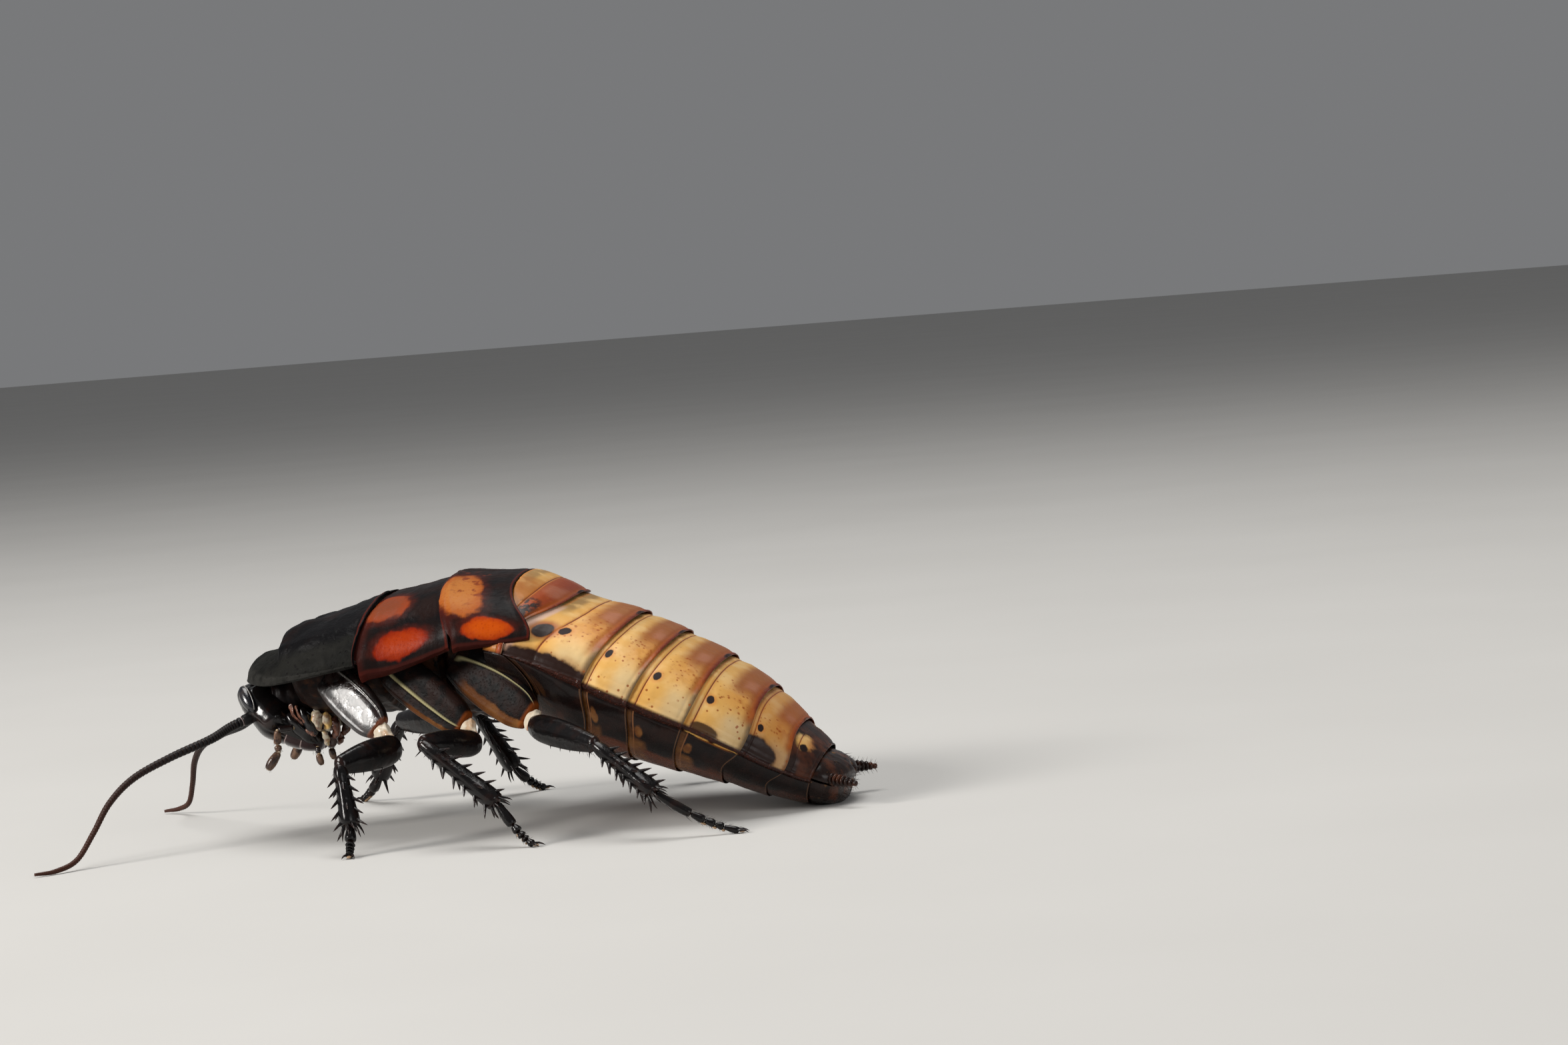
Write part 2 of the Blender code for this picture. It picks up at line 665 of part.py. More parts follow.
def tarsus(name, side):
    """The foot: five joints, the last with a pair of claws, lying on the floor at its end."""
    joints = leg_joints(name, side)
    ankle, toe = joints["ankle"], joints["toe"]
    shin = (ankle - joints["knee"]).normalized()
    start = ankle - shin * 0.1
    bend = start.lerp(toe, 0.55)
    bend.z = 0.2 * start.z + 0.15
    path, sizes = [], []
    count = 5
    for i in range(count):
        for t, size in ((0.04, 0.76), (0.9, 1.0)):
            u = (i + t) / count
            path.append(start * (1 - u) ** 2 + bend * 2 * u * (1 - u) + toe * u * u)
            radius = FOOT[name] * size * (1 - 0.35 * u)
            sizes.append((radius, radius * 0.92))
    obj = add_solid(
        f"{name}_leg_{side_name(side)}_tarsus",
        cut_at_floor(limb_mesh(path, sizes, Vector((0, side, 0.1)), around=7, blunt=0.7)),
        LEG,
    )
    carve(obj, add_solid("tibia_cutter", tibia_mesh(name, side, GAP), LEG))
    onward = (toe - bend).normalized()
    onward.z = 0
    aside = Vector((-onward.y, onward.x, 0))
    claws = []
    for hand in (-1, 1):
        root = toe - onward * 0.25 + Vector((0, 0, 0.22))
        tip = toe + onward * 1.05 + aside * hand * 0.75 + Vector((0, 0, 0.12))
        claws.append((root, tip, 0.24))
    join_spines(obj, claws)
    return obj


# Head

# The head's own middle line from its crown to the mouth: X, Z, then half depth and half width.
HEAD = (
    (-27.05, 15.4, 0.75, 1.4),
    (-26.8, 14.75, 1.35, 2.35),
    (-26.2, 14.05, 1.75, 3.05),
    (-25.2, 13.0, 1.95, 3.7),
    (-23.9, 11.75, 2.05, 3.7),
    (-22.5, 10.7, 1.9, 3.2),
    (-21.2, 9.9, 1.65, 2.6),
    (-19.9, 9.35, 1.3, 2.0),
    (-19.1, 9.05, 0.85, 1.4),
)


def head_rings(grow=0.0, around=16):
    rings = []
    for i, (x, z, depth, width) in enumerate(HEAD):
        before, after = HEAD[max(i - 1, 0)], HEAD[min(i + 1, len(HEAD) - 1)]
        line = Vector((after[0] - before[0], 0, after[1] - before[1])).normalized()
        back = Vector((-line.z, 0, line.x))
        centre = Vector((x, 0, z))
        if i == 0:
            centre -= line * grow
        if i == len(HEAD) - 1:
            centre += line * grow
        aside, back = Vector((0, width + grow, 0)), back * (depth + grow)
        turns = [2 * math.pi * k / around for k in range(around)]
        rings.append([centre + aside * math.sin(a) + back * math.cos(a) for a in turns])
    return rings


def head_cutter():
    return add_solid("head_cutter", mesh_from_rings(head_rings(GAP)), BLACK)


def carve(obj, cutter):
    """Cuts a neighbour, grown by the gap, out of obj."""
    apply_boolean(obj, "DIFFERENCE", [cutter])
    return obj


EYE_PLACE = (-26.35, 2.7, 14.1)
EYE_SIZE = (1.7, 0.75, 0.75)  # down the head, outwards and across


def eye(side):
    x, y, z = EYE_PLACE
    centre = Vector((x, side * y, z))
    line = Vector((0.472, side * 0.533, -0.702))
    back = Vector((0.806, side * 0.056, 0.589))
    outward = Vector((-0.39, side * 0.80, 0.456))
    rings = []
    for t in (-0.96, -0.75, -0.4, 0.0, 0.4, 0.75, 0.96):
        size = math.sqrt(1 - t * t)
        turns = [2 * math.pi * k / 14 for k in range(14)]
        rings.append(
            [
                centre
                + line * t * EYE_SIZE[0]
                + back * math.cos(a) * EYE_SIZE[2] * size
                + outward * math.sin(a) * EYE_SIZE[1] * size
                for a in turns
            ]
        )
    obj = add_solid(f"eye_{side_name(side)}", mesh_from_rings(rings), EYE)
    return carve(obj, head_cutter())


def head():
    return add_solid("head", mesh_from_rings(head_rings()), BLACK)


def neck():
    start, end = Vector((-23.6, 0, 13.7)), Vector((TRUNK["prothorax"][0] - GAP, 0, 14.4))
    path = along(start, end, (0, 0.1, 0.9, 1))
    mesh = limb_mesh(path, [(1.9, 1.75)] * 4, Vector((0, 0, 1)), around=12, blunt=0.9)
    obj = add_solid("neck", mesh, BLACK)
    return carve(obj, head_cutter())


def mouthparts():
    """Maxillae and lower lip, behind the upper lip."""
    start, end = Vector((-20.4, 0, 11.3)), Vector((-18.6, 0, 7.7))
    mesh = limb_mesh(
        along(start, end, (0, 0.15, 0.5, 0.85, 1)),
        [(1.2, 1.6), (1.5, 2.2), (1.4, 2.2), (1.0, 1.6), (0.8, 1.2)],
        Vector((1, 0, 0.05)),
        around=12,
        blunt=0.8,
    )
    obj = add_solid("mouthparts", mesh, PALP)
    return carve(obj, head_cutter())


PALPS = {
    "maxillary_palp": (
        ((-21.6, 3.4, 11.0), 0.34),
        ((-23.1, 4.05, 10.9), 0.36),
        ((-23.25, 4.1, 9.4), 0.40),
        ((-23.1, 4.2, 8.7), 0.34),
        ((-23.9, 4.5, 7.6), 0.50),
        ((-24.35, 4.6, 6.95), 0.36),
    ),
    "labial_palp": (
        ((-19.6, 2.3, 8.8), 0.24),
        ((-19.5, 2.4, 8.1), 0.32),
        ((-19.4, 2.4, 7.4), 0.36),
        ((-19.2, 2.35, 6.9), 0.26),
    ),
}


def palp(name, side):
    path = [Vector((x, side * y, z)) for (x, y, z), _ in PALPS[name]]
    sizes = [(r, r) for _, r in PALPS[name]]
    obj = add_solid(f"{name}_{side_name(side)}", limb_mesh(path, sizes, Vector((0, 1, 0.2)), around=8), PALP)
    return carve(obj, head_cutter())


# Feelers: X, Y, Z and radius, for the left one; the right one is a little higher and straighter
FEELER_PATH = (
    (-25.9, 2.3, 12.3, 0.54),
    (-28.0, 3.7, 11.5, 0.52),
    (-29.8, 5.35, 10.5, 0.48),
    (-33.0, 8.7, 9.3, 0.42),
    (-35.9, 12.2, 7.8, 0.38),
    (-37.6, 15.2, 5.8, 0.34),
    (-38.6, 18.0, 3.2, 0.30),
    (-39.6, 20.6, 1.0, 0.28),
    (-41.0, 22.9, 0.32, 0.25),
    (-42.6, 24.6, 0.30, 0.15),
)
FEELER_CUTS = (0.0, 0.08, 0.40, 0.70, 1.0)  # scape, then three lengths


def feeler_point(t, side):
    keys = np.linspace(0, 1, len(FEELER_PATH))
    x, y, z, radius = (smooth(keys, [row[c] for row in FEELER_PATH], t) for c in range(4))
    if side > 0:
        bend = t * t
        x, y, z = x - 1.5 * bend, y * (1 - 0.12 * bend), z + 3.0 * bend * (1 - t)
    return Vector((x, side * y, z)), radius


def feeler_piece(index, side):
    first, last = FEELER_CUTS[index], FEELER_CUTS[index + 1]
    total = 34.0
    begin = first + (GAP / 2 / total if index else 0)
    stop = last - (GAP / 2 / total if index < 3 else 0)
    count = 3 if index == 0 else 7
    path, sizes = [], []
    for i in range(count):
        point, radius = feeler_point(begin + (stop - begin) * i / (count - 1), side)
        path.append(point)
        size = radius * (1.15 if index == 0 else 1.0)
        sizes.append((size, size))
    name = "scape" if index == 0 else f"feeler_{index}"
    mesh = limb_mesh(path, sizes, Vector((0, 0, 1)), around=8, blunt=0.9)
    if index == 3:
        cut_at_floor(mesh)
    obj = add_solid(f"antenna_{side_name(side)}_{name}", mesh, FEELER)
    return carve(obj, head_cutter()) if index == 0 else obj


def cercus(side):
    """One of the two short, tapering tail feelers."""
    return add_solid(f"cercus_{side_name(side)}", cercus_mesh(side), DARK_TAIL)


def cercus_mesh(side, grow=0.0):
    start, end = Vector((32.4, side * 4.6, 2.9)), Vector((36.0, side * 6.9, 2.4))
    sizes = [(r + grow, r + grow) for r in (0.5, 0.58, 0.5, 0.36, 0.2)]
    return limb_mesh(along(start, end, (0, 0.2, 0.5, 0.8, 1)), sizes, Vector((0, 0, 1)), around=8)


def main():
    for obj in list(bpy.data.objects):
        bpy.data.objects.remove(obj)
    size = (NOTUM_THICKNESS, NOTUM_RIM)
    add_solid("pronotum", plate(shield_surface(), 18, 11, *size), DUSTY)
    add_solid("mesonotum", plate(notum_surface(MESONOTUM), 20, 4, *size), PATCHED)
    add_solid("metanotum", plate(notum_surface(METANOTUM), 20, 5, METANOTUM_THICKNESS, NOTUM_RIM), PATCHED)
    for name, (front, rear) in TRUNK.items():
        add_solid(name, trunk_mesh(front, rear), BLACK)
    for index in range(len(SEGMENT_ENDS)):
        abdomen_segment(index)
    tail_plate("supra_anal_plate", True)
    tail_plate("subgenital_plate", False)
    head()
    neck()
    mouthparts()
    for side in (-1, 1):
        eye(side)
        for name in PALPS:
            palp(name, side)
        for index in range(4):
            feeler_piece(index, side)
        cercus(side)
        for name in COXA_WIDTH:
            coxa(name, side)
            femur(name, side)
            tibia(name, side)
            tarsus(name, side)


main()
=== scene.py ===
import math
import random

import bmesh
import bpy
import numpy as np
from mathutils import Matrix, Vector, noise


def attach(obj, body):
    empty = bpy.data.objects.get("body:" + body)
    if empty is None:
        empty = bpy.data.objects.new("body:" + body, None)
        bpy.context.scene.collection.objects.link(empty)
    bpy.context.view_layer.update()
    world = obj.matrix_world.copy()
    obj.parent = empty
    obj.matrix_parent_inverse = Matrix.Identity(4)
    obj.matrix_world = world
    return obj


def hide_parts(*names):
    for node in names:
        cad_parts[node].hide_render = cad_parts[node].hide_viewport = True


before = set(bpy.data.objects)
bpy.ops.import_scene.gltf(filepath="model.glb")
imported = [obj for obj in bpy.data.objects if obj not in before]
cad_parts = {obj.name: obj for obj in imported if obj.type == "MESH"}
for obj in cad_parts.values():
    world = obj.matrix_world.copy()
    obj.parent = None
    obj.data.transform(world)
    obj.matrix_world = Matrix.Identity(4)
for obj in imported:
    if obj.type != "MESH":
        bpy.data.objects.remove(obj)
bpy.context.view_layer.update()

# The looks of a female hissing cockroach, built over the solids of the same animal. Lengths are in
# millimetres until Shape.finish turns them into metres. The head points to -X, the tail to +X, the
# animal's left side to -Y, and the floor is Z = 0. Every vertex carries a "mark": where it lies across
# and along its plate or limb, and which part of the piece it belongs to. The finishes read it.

MILLIMETRE = 0.001
ORIGIN = np.array((-4.05, 0.07, 0.0))  # the middle of the solids' box, as the numbers below place it
FINE = 1.0  # share of the full number of rows and columns
TURN = 2 * math.pi
draws = random.Random(11)

# Body: the side line's X and Z, and there the half width, the rise above it and the depth below it
BODY = np.array((
    (-26.4, 16.0, 2.0, 1.0, 1.5),
    (-23.5, 15.9, 6.4, 3.2, 3.0),
    (-18.5, 16.5, 7.4, 4.6, 4.6),
    (-11.0, 17.9, 8.0, 6.0, 6.0),
    (-4.5, 18.5, 8.6, 6.6, 7.2),
    (1.8, 18.2, 12.6, 7.1, 7.8),
    (6.3, 16.7, 13.2, 5.9, 8.2),
    (11.8, 14.3, 13.6, 6.0, 7.9),
    (15.8, 12.35, 13.6, 5.8, 7.3),
    (20.2, 10.1, 13.0, 5.4, 6.5),
    (24.5, 7.5, 11.5, 4.7, 5.4),
    (28.2, 4.95, 9.2, 3.6, 4.3),
    (31.4, 3.0, 6.4, 2.5, 3.1),
    (34.6, 1.75, 2.4, 1.0, 1.4),
))
SQUARENESS = 2.3
BELLY_TAPER = (1.0, 2.0, 13.0)
BELLY_LEAN = 0.3
ABDOMEN_START = 1.8
SEGMENT_ENDS = (6.3, 11.8, 15.8, 20.2, 24.5, 28.2, 31.4)
SEGMENT_CORNER = (-3.5, -0.95, -0.55, 0.2, 1.0, 1.0, 0.0)
SHORTEST = 1.1
STEP = 0.45
SIDE_RIM = 0.3


def count(number):
    return max(4, int(number * FINE))


def curve(keys, values):
    """A smooth curve through values at rising keys, for arrays."""
    keys = np.asarray(keys, float)
    values = np.asarray(values, float)
    slopes = np.gradient(values, keys)

    def at(x):
        i = np.clip(np.searchsorted(keys, x) - 1, 0, len(keys) - 2)
        span = keys[i + 1] - keys[i]
        t = (x - keys[i]) / span
        bend = (t**3 - 2 * t**2 + t) * span * slopes[i] + (t**3 - t**2) * span * slopes[i + 1]
        return values[i] + (3 * t**2 - 2 * t**3) * (values[i + 1] - values[i]) + bend

    return at


def ease(t):
    t = np.clip(t, 0.0, 1.0)
    return t * t * (3 - 2 * t)


def hill(x, middle, width):
    """1 at the middle, fading to nothing over about that width to each side."""
    return np.exp(-(((x - middle) / width) ** 2))


line_z, half_width, back_rise, belly_depth = (curve(BODY[:, 0], BODY[:, c]) for c in (1, 2, 3, 4))


def side_line(place):
    """The side line's point there, and the direction that is upright on it."""
    step = 0.05
    climb = line_z(place + step) - line_z(place - step)
    size = np.hypot(2 * step, climb)
    zero = np.zeros_like(place)
    point = np.stack((place, zero, line_z(place)), -1)
    return point, np.stack((-climb / size, zero, 2 * step / size), -1)


def sideways(y):
    """Steps of that length to the animal's right."""
    return np.stack((np.zeros_like(y), y, np.zeros_like(y)), -1)


def squared(value, square):
    """The sine or cosine for a round section that a square over 2 flattens."""
    return np.sign(value) * np.abs(value) ** (2 / square)


def on_body(place, angle, out=0.0):
    """Points of the body's surface. The angle is 0 on the back, 90 at the right flank and 180 below."""
    a = np.radians(angle)
    point, up = side_line(place)
    below = np.cos(a) < 0
    lean = np.where(below, BELLY_LEAN, 0.0)[..., None]
    up = up * (1 - lean) + np.array((0.0, 0.0, 1.0)) * lean
    less, start, end = BELLY_TAPER
    square = SQUARENESS - np.where(below, less * (1 - ease((place - start) / (end - start))), 0.0)
    y = squared(np.sin(a), square) * (half_width(place) + out)
    z = squared(np.cos(a), square) * (np.where(below, belly_depth(place), back_rise(place)) + out)
    return point + (sideways(y) + up * z[..., None])


def rough(points, size, seed=0.0):
    """Smooth noise from about -1 to 1 at each point, with lumps of that size."""
    flat = points.reshape(-1, 3) / size + seed
    return np.array([noise.noise(p) for p in flat.tolist()]).reshape(points.shape[:-1])


def wrinkles(points, stretch, large, small):
    """Large and small wrinkles, each with a size, a seed and a height. The stretch is for the large ones."""
    (size, seed, height), (fine_size, fine_seed, fine_height) = large, small
    coarse = rough(points * np.array(stretch), size, seed) * height
    return coarse + rough(points, fine_size, fine_seed) * fine_height


def full_turn(steps):
    return np.linspace(0, TURN, count(steps), endpoint=False)


def on_side(side, x, y, z):
    """A point or direction given for the right side, on the left where side is -1."""
    return np.array((x, side * y, z))


def side_word(side):
    return "left" if side < 0 else "right"


def between(a, b, *shares):
    return [a + (b - a) * t for t in shares]


# Meshes


def link(name, data):
    obj = bpy.data.objects.new(name, data)
    bpy.context.scene.collection.objects.link(obj)
    return obj


class Shape:
    """The vertices, marks and faces of one piece."""

    def __init__(self):
        self.points = []
        self.marks = []
        self.faces = []
        self.size = 0

    def grid(self, points, across, along, kind=0.0, wrap=False, ends=(False, False)):
        """A sheet of rows and columns of points, wrapped round into a tube where wrap is True."""
        rows, columns = points.shape[:2]
        marks = np.stack(np.broadcast_arrays(across, along, np.full((rows, columns), float(kind))), -1)
        index = self.size + np.arange(rows * columns).reshape(rows, columns)
        self.points.append(points.reshape(-1, 3))
        self.marks.append(marks.reshape(-1, 3))
        self.size += rows * columns
        here = index if wrap else index[:, :-1]
        beside = np.roll(index, -1, axis=1) if wrap else index[:, 1:]
        self.faces += np.stack((here[:-1], beside[:-1], beside[1:], here[1:]), -1).reshape(-1, 4).tolist()
        for closed, row in zip(ends, (0, -1)):
            if closed:
                self.faces.append(index[row].tolist())

    def finish(self, name, look, slot, *nodes):
        """Makes the piece, which stands for those nodes, or for the one of its own name."""
        nodes = nodes or (name,)
        name = f"{name}_look"
        points = np.concatenate(self.points)
        data = bpy.data.meshes.new(name)
        data.from_pydata(((points - ORIGIN) * MILLIMETRE).tolist(), [], self.faces)
        layer = data.attributes.new("mark", "FLOAT_VECTOR", "POINT")
        layer.data.foreach_set("vector", np.concatenate(self.marks).astype(np.float32).ravel())
        mesh = bmesh.new()
        mesh.from_mesh(data)
        bmesh.ops.recalc_face_normals(mesh, faces=mesh.faces)
        mesh.to_mesh(data)
        mesh.free()
        data.shade_smooth()
        data.materials.append(look)
        obj = link(name, data)
        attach(obj, "root")
        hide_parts(*nodes)


def unit(v):
    return v / np.maximum(np.linalg.norm(v, axis=-1, keepdims=True), 1e-9)


def tube(shape, centres, sizes, flat, around=20, kind=0.0, form=None, along=None, square=2.0, flip=False):
    """A limb round the centres. sizes holds the half sizes along `flat` and across it. form gives what is
    added to the size at each turn and share of the length. A square over 2 flattens its faces, and flip
    turns its marks round for a limb of the right side."""
    around = max(5, around)
    direction = unit(np.gradient(centres, axis=0))
    flat = np.asarray(flat, float)
    across = unit(flat - direction * (direction @ flat)[:, None])
    beside = np.cross(direction, across)
    turn = TURN * np.arange(around) / around
    length = np.concatenate(((0.0,), np.cumsum(np.linalg.norm(np.diff(centres, axis=0), axis=1))))
    share = length / length[-1] if along is None else along
    seen = (TURN - turn) % TURN if flip else turn
    extra = form(seen[None, :], share[:, None]) if form else 0.0
    a = (sizes[:, :1] + extra) * squared(np.cos(turn), square)[None, :]
    b = (sizes[:, 1:] + extra) * squared(np.sin(turn), square)[None, :]
    points = centres[:, None, :] + a[..., None] * across[:, None, :] + b[..., None] * beside[:, None, :]
    shape.grid(points, seen[None, :] / TURN, share[:, None], kind, True, (True, True))


def limb(shape, path, sizes, flat, rows=40, around=24, kind=0.0, form=None, round_end=0.6, **more):
    """A limb with rounded ends along a smooth curve through the path, of radii or pairs of half sizes."""
    path, sizes = np.asarray(path, float), np.asarray(sizes, float)
    if sizes.ndim == 1:
        sizes = np.stack((sizes, sizes), -1)
    keys = np.concatenate(((0.0,), np.cumsum(np.linalg.norm(np.diff(path, axis=0), axis=1))))
    even = np.linspace(0.0, 1.0, count(rows))
    t = keys[-1] * (0.45 * even + 0.55 * (0.5 - 0.5 * np.cos(np.pi * even)))
    centres = np.stack([curve(keys, path[:, k])(t) for k in range(3)], -1)
    widths = np.stack([curve(keys, sizes[:, k])(t) for k in range(2)], -1)
    near = np.minimum(t, keys[-1] - t) / np.maximum(widths.min(1) * round_end, 1e-3)
    widths *= np.sqrt(np.clip(1 - (1 - np.clip(near, 0.0, 1.0)) ** 2, 0.02, 1.0))[:, None]
    tube(shape, centres, widths, flat, count(around), kind, form, **more)


def across_limb(direction, flat):
    """Two directions square to a limb's, the first of them nearest to flat."""
    flat = np.asarray(flat, float)
    across = unit(flat - direction * (flat @ direction))
    return across, np.cross(direction, across)


def spokes(direction, flat):
    """The way out from a limb, as a function of the turn round it."""
    across, square = across_limb(direction, flat)
    return lambda turn: across * math.cos(turn) + square * math.sin(turn)


def spine(shape, root, tip, radius, kind=0.0, bend=0.0, sides=6):
    """A tapering spine or hair, bowed by `bend` at its middle."""
    shares = (0.0, 0.12, 0.45, 0.78, 1.0) if sides > 3 else (0.0, 0.5, 1.0)
    taper = (1.25, 1.0, 0.74, 0.42, 0.06) if sides > 3 else (1.0, 0.7, 0.15)
    centres = np.array([root + (tip - root) * t + bend * 4 * t * (1 - t) for t in shares])
    direction = unit(tip - root)
    across, square = across_limb(direction, (0.0, 0.0, 1.0) if abs(direction[2]) < 0.8 else (1.0, 0.0, 0.0))
    turn = TURN * np.arange(sides) / sides
    ring = np.cos(turn)[:, None] * across + np.sin(turn)[:, None] * square
    points = centres[:, None, :] + ring[None] * (radius * np.array(taper))[:, None, None]
    shape.grid(points, turn[None, :] / 6.3, np.array(shares)[:, None], kind, True, (False, True))


def hair(shape, root, tip, radius, kind=0.0, lowest=0.02):
    """A fine hair, its tip kept over the floor."""
    tip[2] = max(tip[2], lowest)
    spine(shape, root, tip, radius, kind, 0.0, 3)


# Finishes


class Wire:
    """A value or colour in a material's nodes, with arithmetic."""

    def __init__(self, paint, socket):
        self.paint = paint
        self.socket = socket

    def math(self, operation, *others, clamp=False):
        node = self.paint.tree.nodes.new("ShaderNodeMath")
        node.operation = operation
        node.use_clamp = clamp
        for slot_, value in zip(node.inputs, (self, *others)):
            self.paint.put(slot_, value)
        return Wire(self.paint, node.outputs[0])

    def __add__(self, other):
        return self.math("ADD", other)

    __radd__ = __add__

    def __sub__(self, other):
        return self.math("SUBTRACT", other)

    def __rsub__(self, other):
        return (self * -1.0) + other

    def __mul__(self, other):
        return self.math("MULTIPLY", other)

    __rmul__ = __mul__

    def __truediv__(self, other):
        return self.math("DIVIDE", other)

    def up(self, edge, soft):
        """0 below the edge and 1 above it, smooth over that distance to each side."""
        node = self.paint.tree.nodes.new("ShaderNodeMapRange")
        node.interpolation_type = "SMOOTHSTEP"
        self.paint.put(node.inputs[0], self)
        for slot_, value in zip(node.inputs[1:5], (edge - soft, edge + soft, 0.0, 1.0)):
            self.paint.put(slot_, value)
        return Wire(self.paint, node.outputs[0])

    def band(self, low, high, soft):
        """1 between the edges."""
        return self.up(low, soft) * (1.0 - self.up(high, soft))

    def swing(self, amount):
        """Noise from 0 to 1 as a change of up to half that amount, either way."""
        return (self - 0.5) * amount


class Paint:
    """A procedural finish under construction."""

    def __init__(self, name):
        self.material = bpy.data.materials.new(name)
        self.material.use_nodes = True
        self.tree = self.material.node_tree
        self.shader = self.tree.nodes["Principled BSDF"]
        mark = self.tree.nodes.new("ShaderNodeAttribute")
        mark.attribute_name = "mark"
        self.mark = Wire(self, mark.outputs["Vector"])
        split = self.tree.nodes.new("ShaderNodeSeparateXYZ")
        self.put(split.inputs[0], self.mark)
        self.u, self.v, self.kind = (Wire(self, split.outputs[k]) for k in range(3))
        where = self.tree.nodes.new("ShaderNodeTexCoord")
        scale = self.tree.nodes.new("ShaderNodeVectorMath")
        scale.operation = "SCALE"
        self.tree.links.new(where.outputs["Object"], scale.inputs[0])
        scale.inputs["Scale"].default_value = 1 / MILLIMETRE
        self.place = Wire(self, scale.outputs[0])

    def put(self, socket, value):
        if isinstance(value, Wire):
            self.tree.links.new(value.socket, socket)
        elif isinstance(value, tuple) and len(value) == 3 and socket.type == "RGBA":
            socket.default_value = (*value, 1.0)
        else:
            socket.default_value = value

    def noise(self, size, detail=3.0, shift=0.0, stretch=(1.0, 1.0, 1.0), on_mark=False):
        """Noise of that lump size in millimetres, or in the units of the mark."""
        move = self.tree.nodes.new("ShaderNodeMapping")
        self.put(move.inputs["Vector"], self.mark if on_mark else self.place)
        move.inputs["Location"].default_value = (shift, shift * 0.7, -shift)
        move.inputs["Scale"].default_value = tuple(s / size for s in stretch)
        node = self.tree.nodes.new("ShaderNodeTexNoise")
        self.tree.links.new(move.outputs[0], node.inputs["Vector"])
        node.inputs["Scale"].default_value = 1.0
        node.inputs["Detail"].default_value = detail
        return Wire(self, node.outputs[0])

    def cells(self, size, feature="F1", shift=0.0):
        """Distance from the middle, or with DISTANCE_TO_EDGE from the edge, of cells of that size."""
        move = self.tree.nodes.new("ShaderNodeMapping")
        self.put(move.inputs["Vector"], self.place)
        move.inputs["Location"].default_value = (shift, -shift, shift)
        move.inputs["Scale"].default_value = (1 / size,) * 3
        node = self.tree.nodes.new("ShaderNodeTexVoronoi")
        node.feature = feature
        self.tree.links.new(move.outputs[0], node.inputs["Vector"])
        node.inputs["Scale"].default_value = 1.0
        return Wire(self, node.outputs["Distance"])

    def spot(self, u, v, wide, long, soft=0.35, wobble=0.0, size=0.7):
        """1 within an oval of those half sizes round u, v of the mark, its edge wobbled by noise."""
        away = ((self.u - u) / wide).math("POWER", 2.0) + ((self.v - v) / long).math("POWER", 2.0)
        away = away.math("SQRT")
        if wobble:
            away = away + (self.noise(size, 5.0, u * 9.0 + v) - 0.5) * wobble
        return 1.0 - away.up(1.0, soft)

    def part(self, number):
        """1 on the part of a piece that carries that number."""
        return self.kind.band(number - 0.5, number + 0.5, 0.02)

    def mix(self, a, b, t):
        node = self.tree.nodes.new("ShaderNodeMix")
        node.data_type = "RGBA"
        self.put(node.inputs[0], t)
        self.put(node.inputs[6], a)
        self.put(node.inputs[7], b)
        return Wire(self, node.outputs[2])

    def layers(self, colour, *rows):
        """The colour with each (colour, share) laid over it in turn."""
        for over, share in rows:
            colour = self.mix(colour, over, share)
        return colour

    def done(self, colour, roughness, height=None, depth=0.06, coat=0.0, coat_roughness=0.1, specular=0.5):
        """Wires up the shader. height is bumped to that depth in millimetres."""
        self.put(self.shader.inputs["Base Color"], colour)
        self.put(self.shader.inputs["Roughness"], roughness)
        self.put(self.shader.inputs["Specular IOR Level"], specular)
        self.put(self.shader.inputs["Coat Weight"], coat)
        self.put(self.shader.inputs["Coat Roughness"], coat_roughness)
        if height is not None:
            bump = self.tree.nodes.new("ShaderNodeBump")
            bump.inputs["Strength"].default_value = 1.0
            bump.inputs["Distance"].default_value = depth * MILLIMETRE
            self.put(bump.inputs["Height"], height)
            self.tree.links.new(bump.outputs[0], self.shader.inputs["Normal"])
        return self.material


# Colours in linear light
BLACK = (0.0065, 0.0055, 0.006)
SHELL = (0.0050, 0.0042, 0.0042)
BROWN_SHELL = (0.014, 0.0065, 0.005)
SOOT = (0.0055, 0.0055, 0.0050)
DUSTY = (0.0115, 0.0112, 0.0098)
GREY_RIM = (0.030, 0.029, 0.026)
DARK_BROWN = (0.018, 0.0070, 0.005)
DEEP_RED = (0.085, 0.011, 0.006)
RED_BROWN = (0.15, 0.024, 0.008)
ORANGE = (0.52, 0.165, 0.020)
ORANGE_BROWN = (0.30, 0.066, 0.008)
TAN = (0.42, 0.19, 0.055)
MAUVE = (0.27, 0.074, 0.017)
ROSY = (0.40, 0.16, 0.090)
CREAM = (0.66, 0.365, 0.098)
IVORY = (0.72, 0.46, 0.18)
PALE_BLUE = (0.60, 0.47, 0.27)
SMOKY = (0.12, 0.075, 0.038)
OLIVE = (0.36, 0.32, 0.17)
PALE_RING = (0.34, 0.27, 0.27)


def line(value, middle, width):
    """1 within that distance of the middle, with soft sides."""
    return value.band(middle - width, middle + width, width * 0.8)


def mirrored(p):
    """Makes the finish the same on both sides, for spots that are given by the share across."""
    p.u = p.u.math("ABSOLUTE")
    return p


